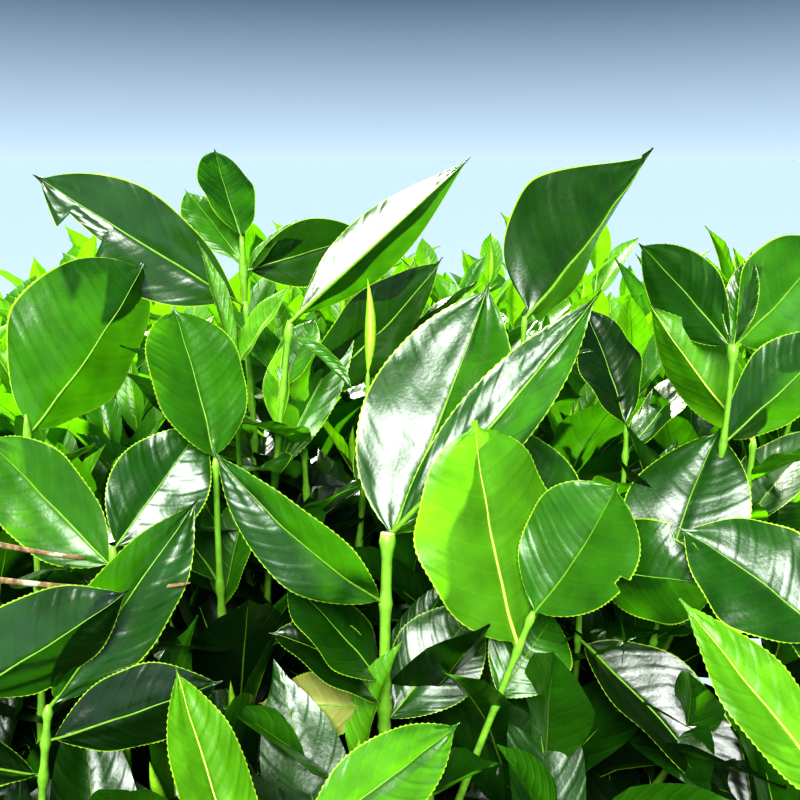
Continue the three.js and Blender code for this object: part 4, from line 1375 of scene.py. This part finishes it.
class TEABUSH_PG_sizes(bpy.types.PropertyGroup):
    shoots: IntProperty(
        name="Shoots", description="Shoots that the rule grows over the table and flank", default=330, min=1
    )
    inner_shoots: IntProperty(
        name="Inner shoots", description="Old shoots that fill the inside of the crown", default=170, min=0
    )
    bark_relief: FloatProperty(
        name="Bark relief", description="Height of the bark's ridges on the bole",
        default=0.0026, unit="LENGTH",
    )


def colour_property(label, description, hex_colour):
    """A colour that can be changed, whose default is given as sRGB hex."""
    return FloatVectorProperty(
        name=label, description=description, default=linear(hex_colour),
        subtype="COLOR", size=4, min=0, max=1,
    )


class TEABUSH_PG_colours(bpy.types.PropertyGroup):
    young_face: colour_property("Young leaf", "Blades at the top of a shoot", "#548a12")
    young_glow: colour_property("Young glow", "Light that passes a young blade", "#96e618")
    fresh_face: colour_property("Fresh leaf", "Blades that have just grown to size", "#36690d")
    fresh_glow: colour_property("Fresh glow", "Light that passes a fresh blade", "#8ae014")
    full_face: colour_property("Full leaf", "Full-grown blades", "#1d4806")
    full_glow: colour_property("Full glow", "Light that passes a full-grown blade", "#5fac0e")
    old_face: colour_property("Old leaf", "Dark blades low on a shoot", "#102c05")
    old_glow: colour_property("Old glow", "Light that passes an old blade", "#38740b")
    dry_face: colour_property("Dry leaf", "Withered blades", "#8f9450")
    dry_glow: colour_property("Dry glow", "Light that passes a withered blade", "#c3cc84")
    # The rim's pale colour is a painted highlight of the lit edge.
    rim: colour_property("Leaf rim", "Toothed rim of a blade", "#93b434")
    rib: colour_property("Leaf rib", "Midrib of a grown blade", "#74a02c")
    # Partly painted light: near white so that a young rib shows bright though its blade shades it.
    pale_rib: colour_property("Pale rib", "Midrib of a young blade", "#dfe878")
    bud: colour_property("Bud", "Buds of silky young leaves", "#9bcf38")
    green_stem: colour_property("Green stem", "Young part of a shoot", "#709f34")
    cut_wood: colour_property("Cut wood", "Cut end of a plucked shoot", "#d2c28c")
    twig_ridge: colour_property("Twig bark", "Bark of the twigs", "#8a7550")
    twig_furrow: colour_property("Twig furrow", "Darker parts of the twigs' bark", "#4e3c26")
    bough_ridge: colour_property("Bough bark", "Ridges of the boughs' bark", "#85745c")
    bough_furrow: colour_property("Bough furrow", "Furrows of the boughs' bark", "#41352a")
    bole_ridge: colour_property("Bole bark", "Ridges of the bole's bark", "#8f806a")
    bole_furrow: colour_property("Bole furrow", "Furrows of the bole's bark", "#463a2e")
    lichen: colour_property("Lichen", "Pale flecks on the bark", "#a8aa94")


def masses_of(context):
    """The masses of foliage, with as many shoots as the panel says."""
    sizes = context.scene.tea_bush_sizes
    return grown_masses(sizes.shoots, sizes.inner_shoots)


class TEABUSH_OT_stage(bpy.types.Operator):
    """Floor, lights and camera"""

    bl_idname = "teabush.stage"
    bl_label = "Stage"

    def execute(self, context):
        make_stage()
        return {"FINISHED"}


class TEABUSH_OT_bole(bpy.types.Operator):
    """The bole with its root lobes, bark and healed cuts"""

    bl_idname = "teabush.bole"
    bl_label = "Bole"

    def execute(self, context):
        make_bole(context.scene.tea_bush_sizes.bark_relief)
        return {"FINISHED"}


class TEABUSH_OT_boughs(bpy.types.Operator):
    """The frame of boughs with their bark"""

    bl_idname = "teabush.boughs"
    bl_label = "Boughs"

    def execute(self, context):
        make_boughs(context.scene.tea_bush_sizes.bark_relief)
        return {"FINISHED"}


class TEABUSH_OT_twigs(bpy.types.Operator):
    """Stems, branches and twigs of each mass of foliage"""

    bl_idname = "teabush.twigs"
    bl_label = "Twigs"

    def execute(self, context):
        make_twigs(masses_of(context))
        return {"FINISHED"}


class TEABUSH_OT_leaves(bpy.types.Operator):
    """Leaves of each mass of foliage"""

    bl_idname = "teabush.leaves"
    bl_label = "Leaves"

    def execute(self, context):
        make_leaves(masses_of(context))
        return {"FINISHED"}


class TEABUSH_OT_buds(bpy.types.Operator):
    """Buds of each mass of foliage"""

    bl_idname = "teabush.buds"
    bl_label = "Buds"

    def execute(self, context):
        make_buds(masses_of(context))
        return {"FINISHED"}


class TEABUSH_PT_panel(bpy.types.Panel):
    bl_idname = "TEABUSH_PT_panel"
    bl_label = "Tea bush"
    bl_space_type = "VIEW_3D"
    bl_region_type = "UI"
    bl_category = "Tea bush"

    def draw(self, context):
        for group in (context.scene.tea_bush_sizes, context.scene.tea_bush_colours):
            for name in type(group).__annotations__:
                self.layout.prop(group, name)
        for operator in OPERATORS:
            self.layout.operator(operator.bl_idname)


OPERATORS = (
    TEABUSH_OT_stage, TEABUSH_OT_bole, TEABUSH_OT_boughs,
    TEABUSH_OT_twigs, TEABUSH_OT_leaves, TEABUSH_OT_buds,
)
CLASSES = (TEABUSH_PG_sizes, TEABUSH_PG_colours, *OPERATORS, TEABUSH_PT_panel)


def register():
    for cls in CLASSES:
        bpy.utils.register_class(cls)
    bpy.types.Scene.tea_bush_sizes = PointerProperty(type=TEABUSH_PG_sizes)
    bpy.types.Scene.tea_bush_colours = PointerProperty(type=TEABUSH_PG_colours)


def unregister():
    del bpy.types.Scene.tea_bush_sizes
    del bpy.types.Scene.tea_bush_colours
    for cls in reversed(CLASSES):
        bpy.utils.unregister_class(cls)


def main():
    register()
    bpy.ops.teabush.stage()
    bpy.ops.teabush.bole()
    bpy.ops.teabush.boughs()
    bpy.ops.teabush.twigs()
    bpy.ops.teabush.leaves()
    bpy.ops.teabush.buds()


if __name__ == "__main__":
    main()
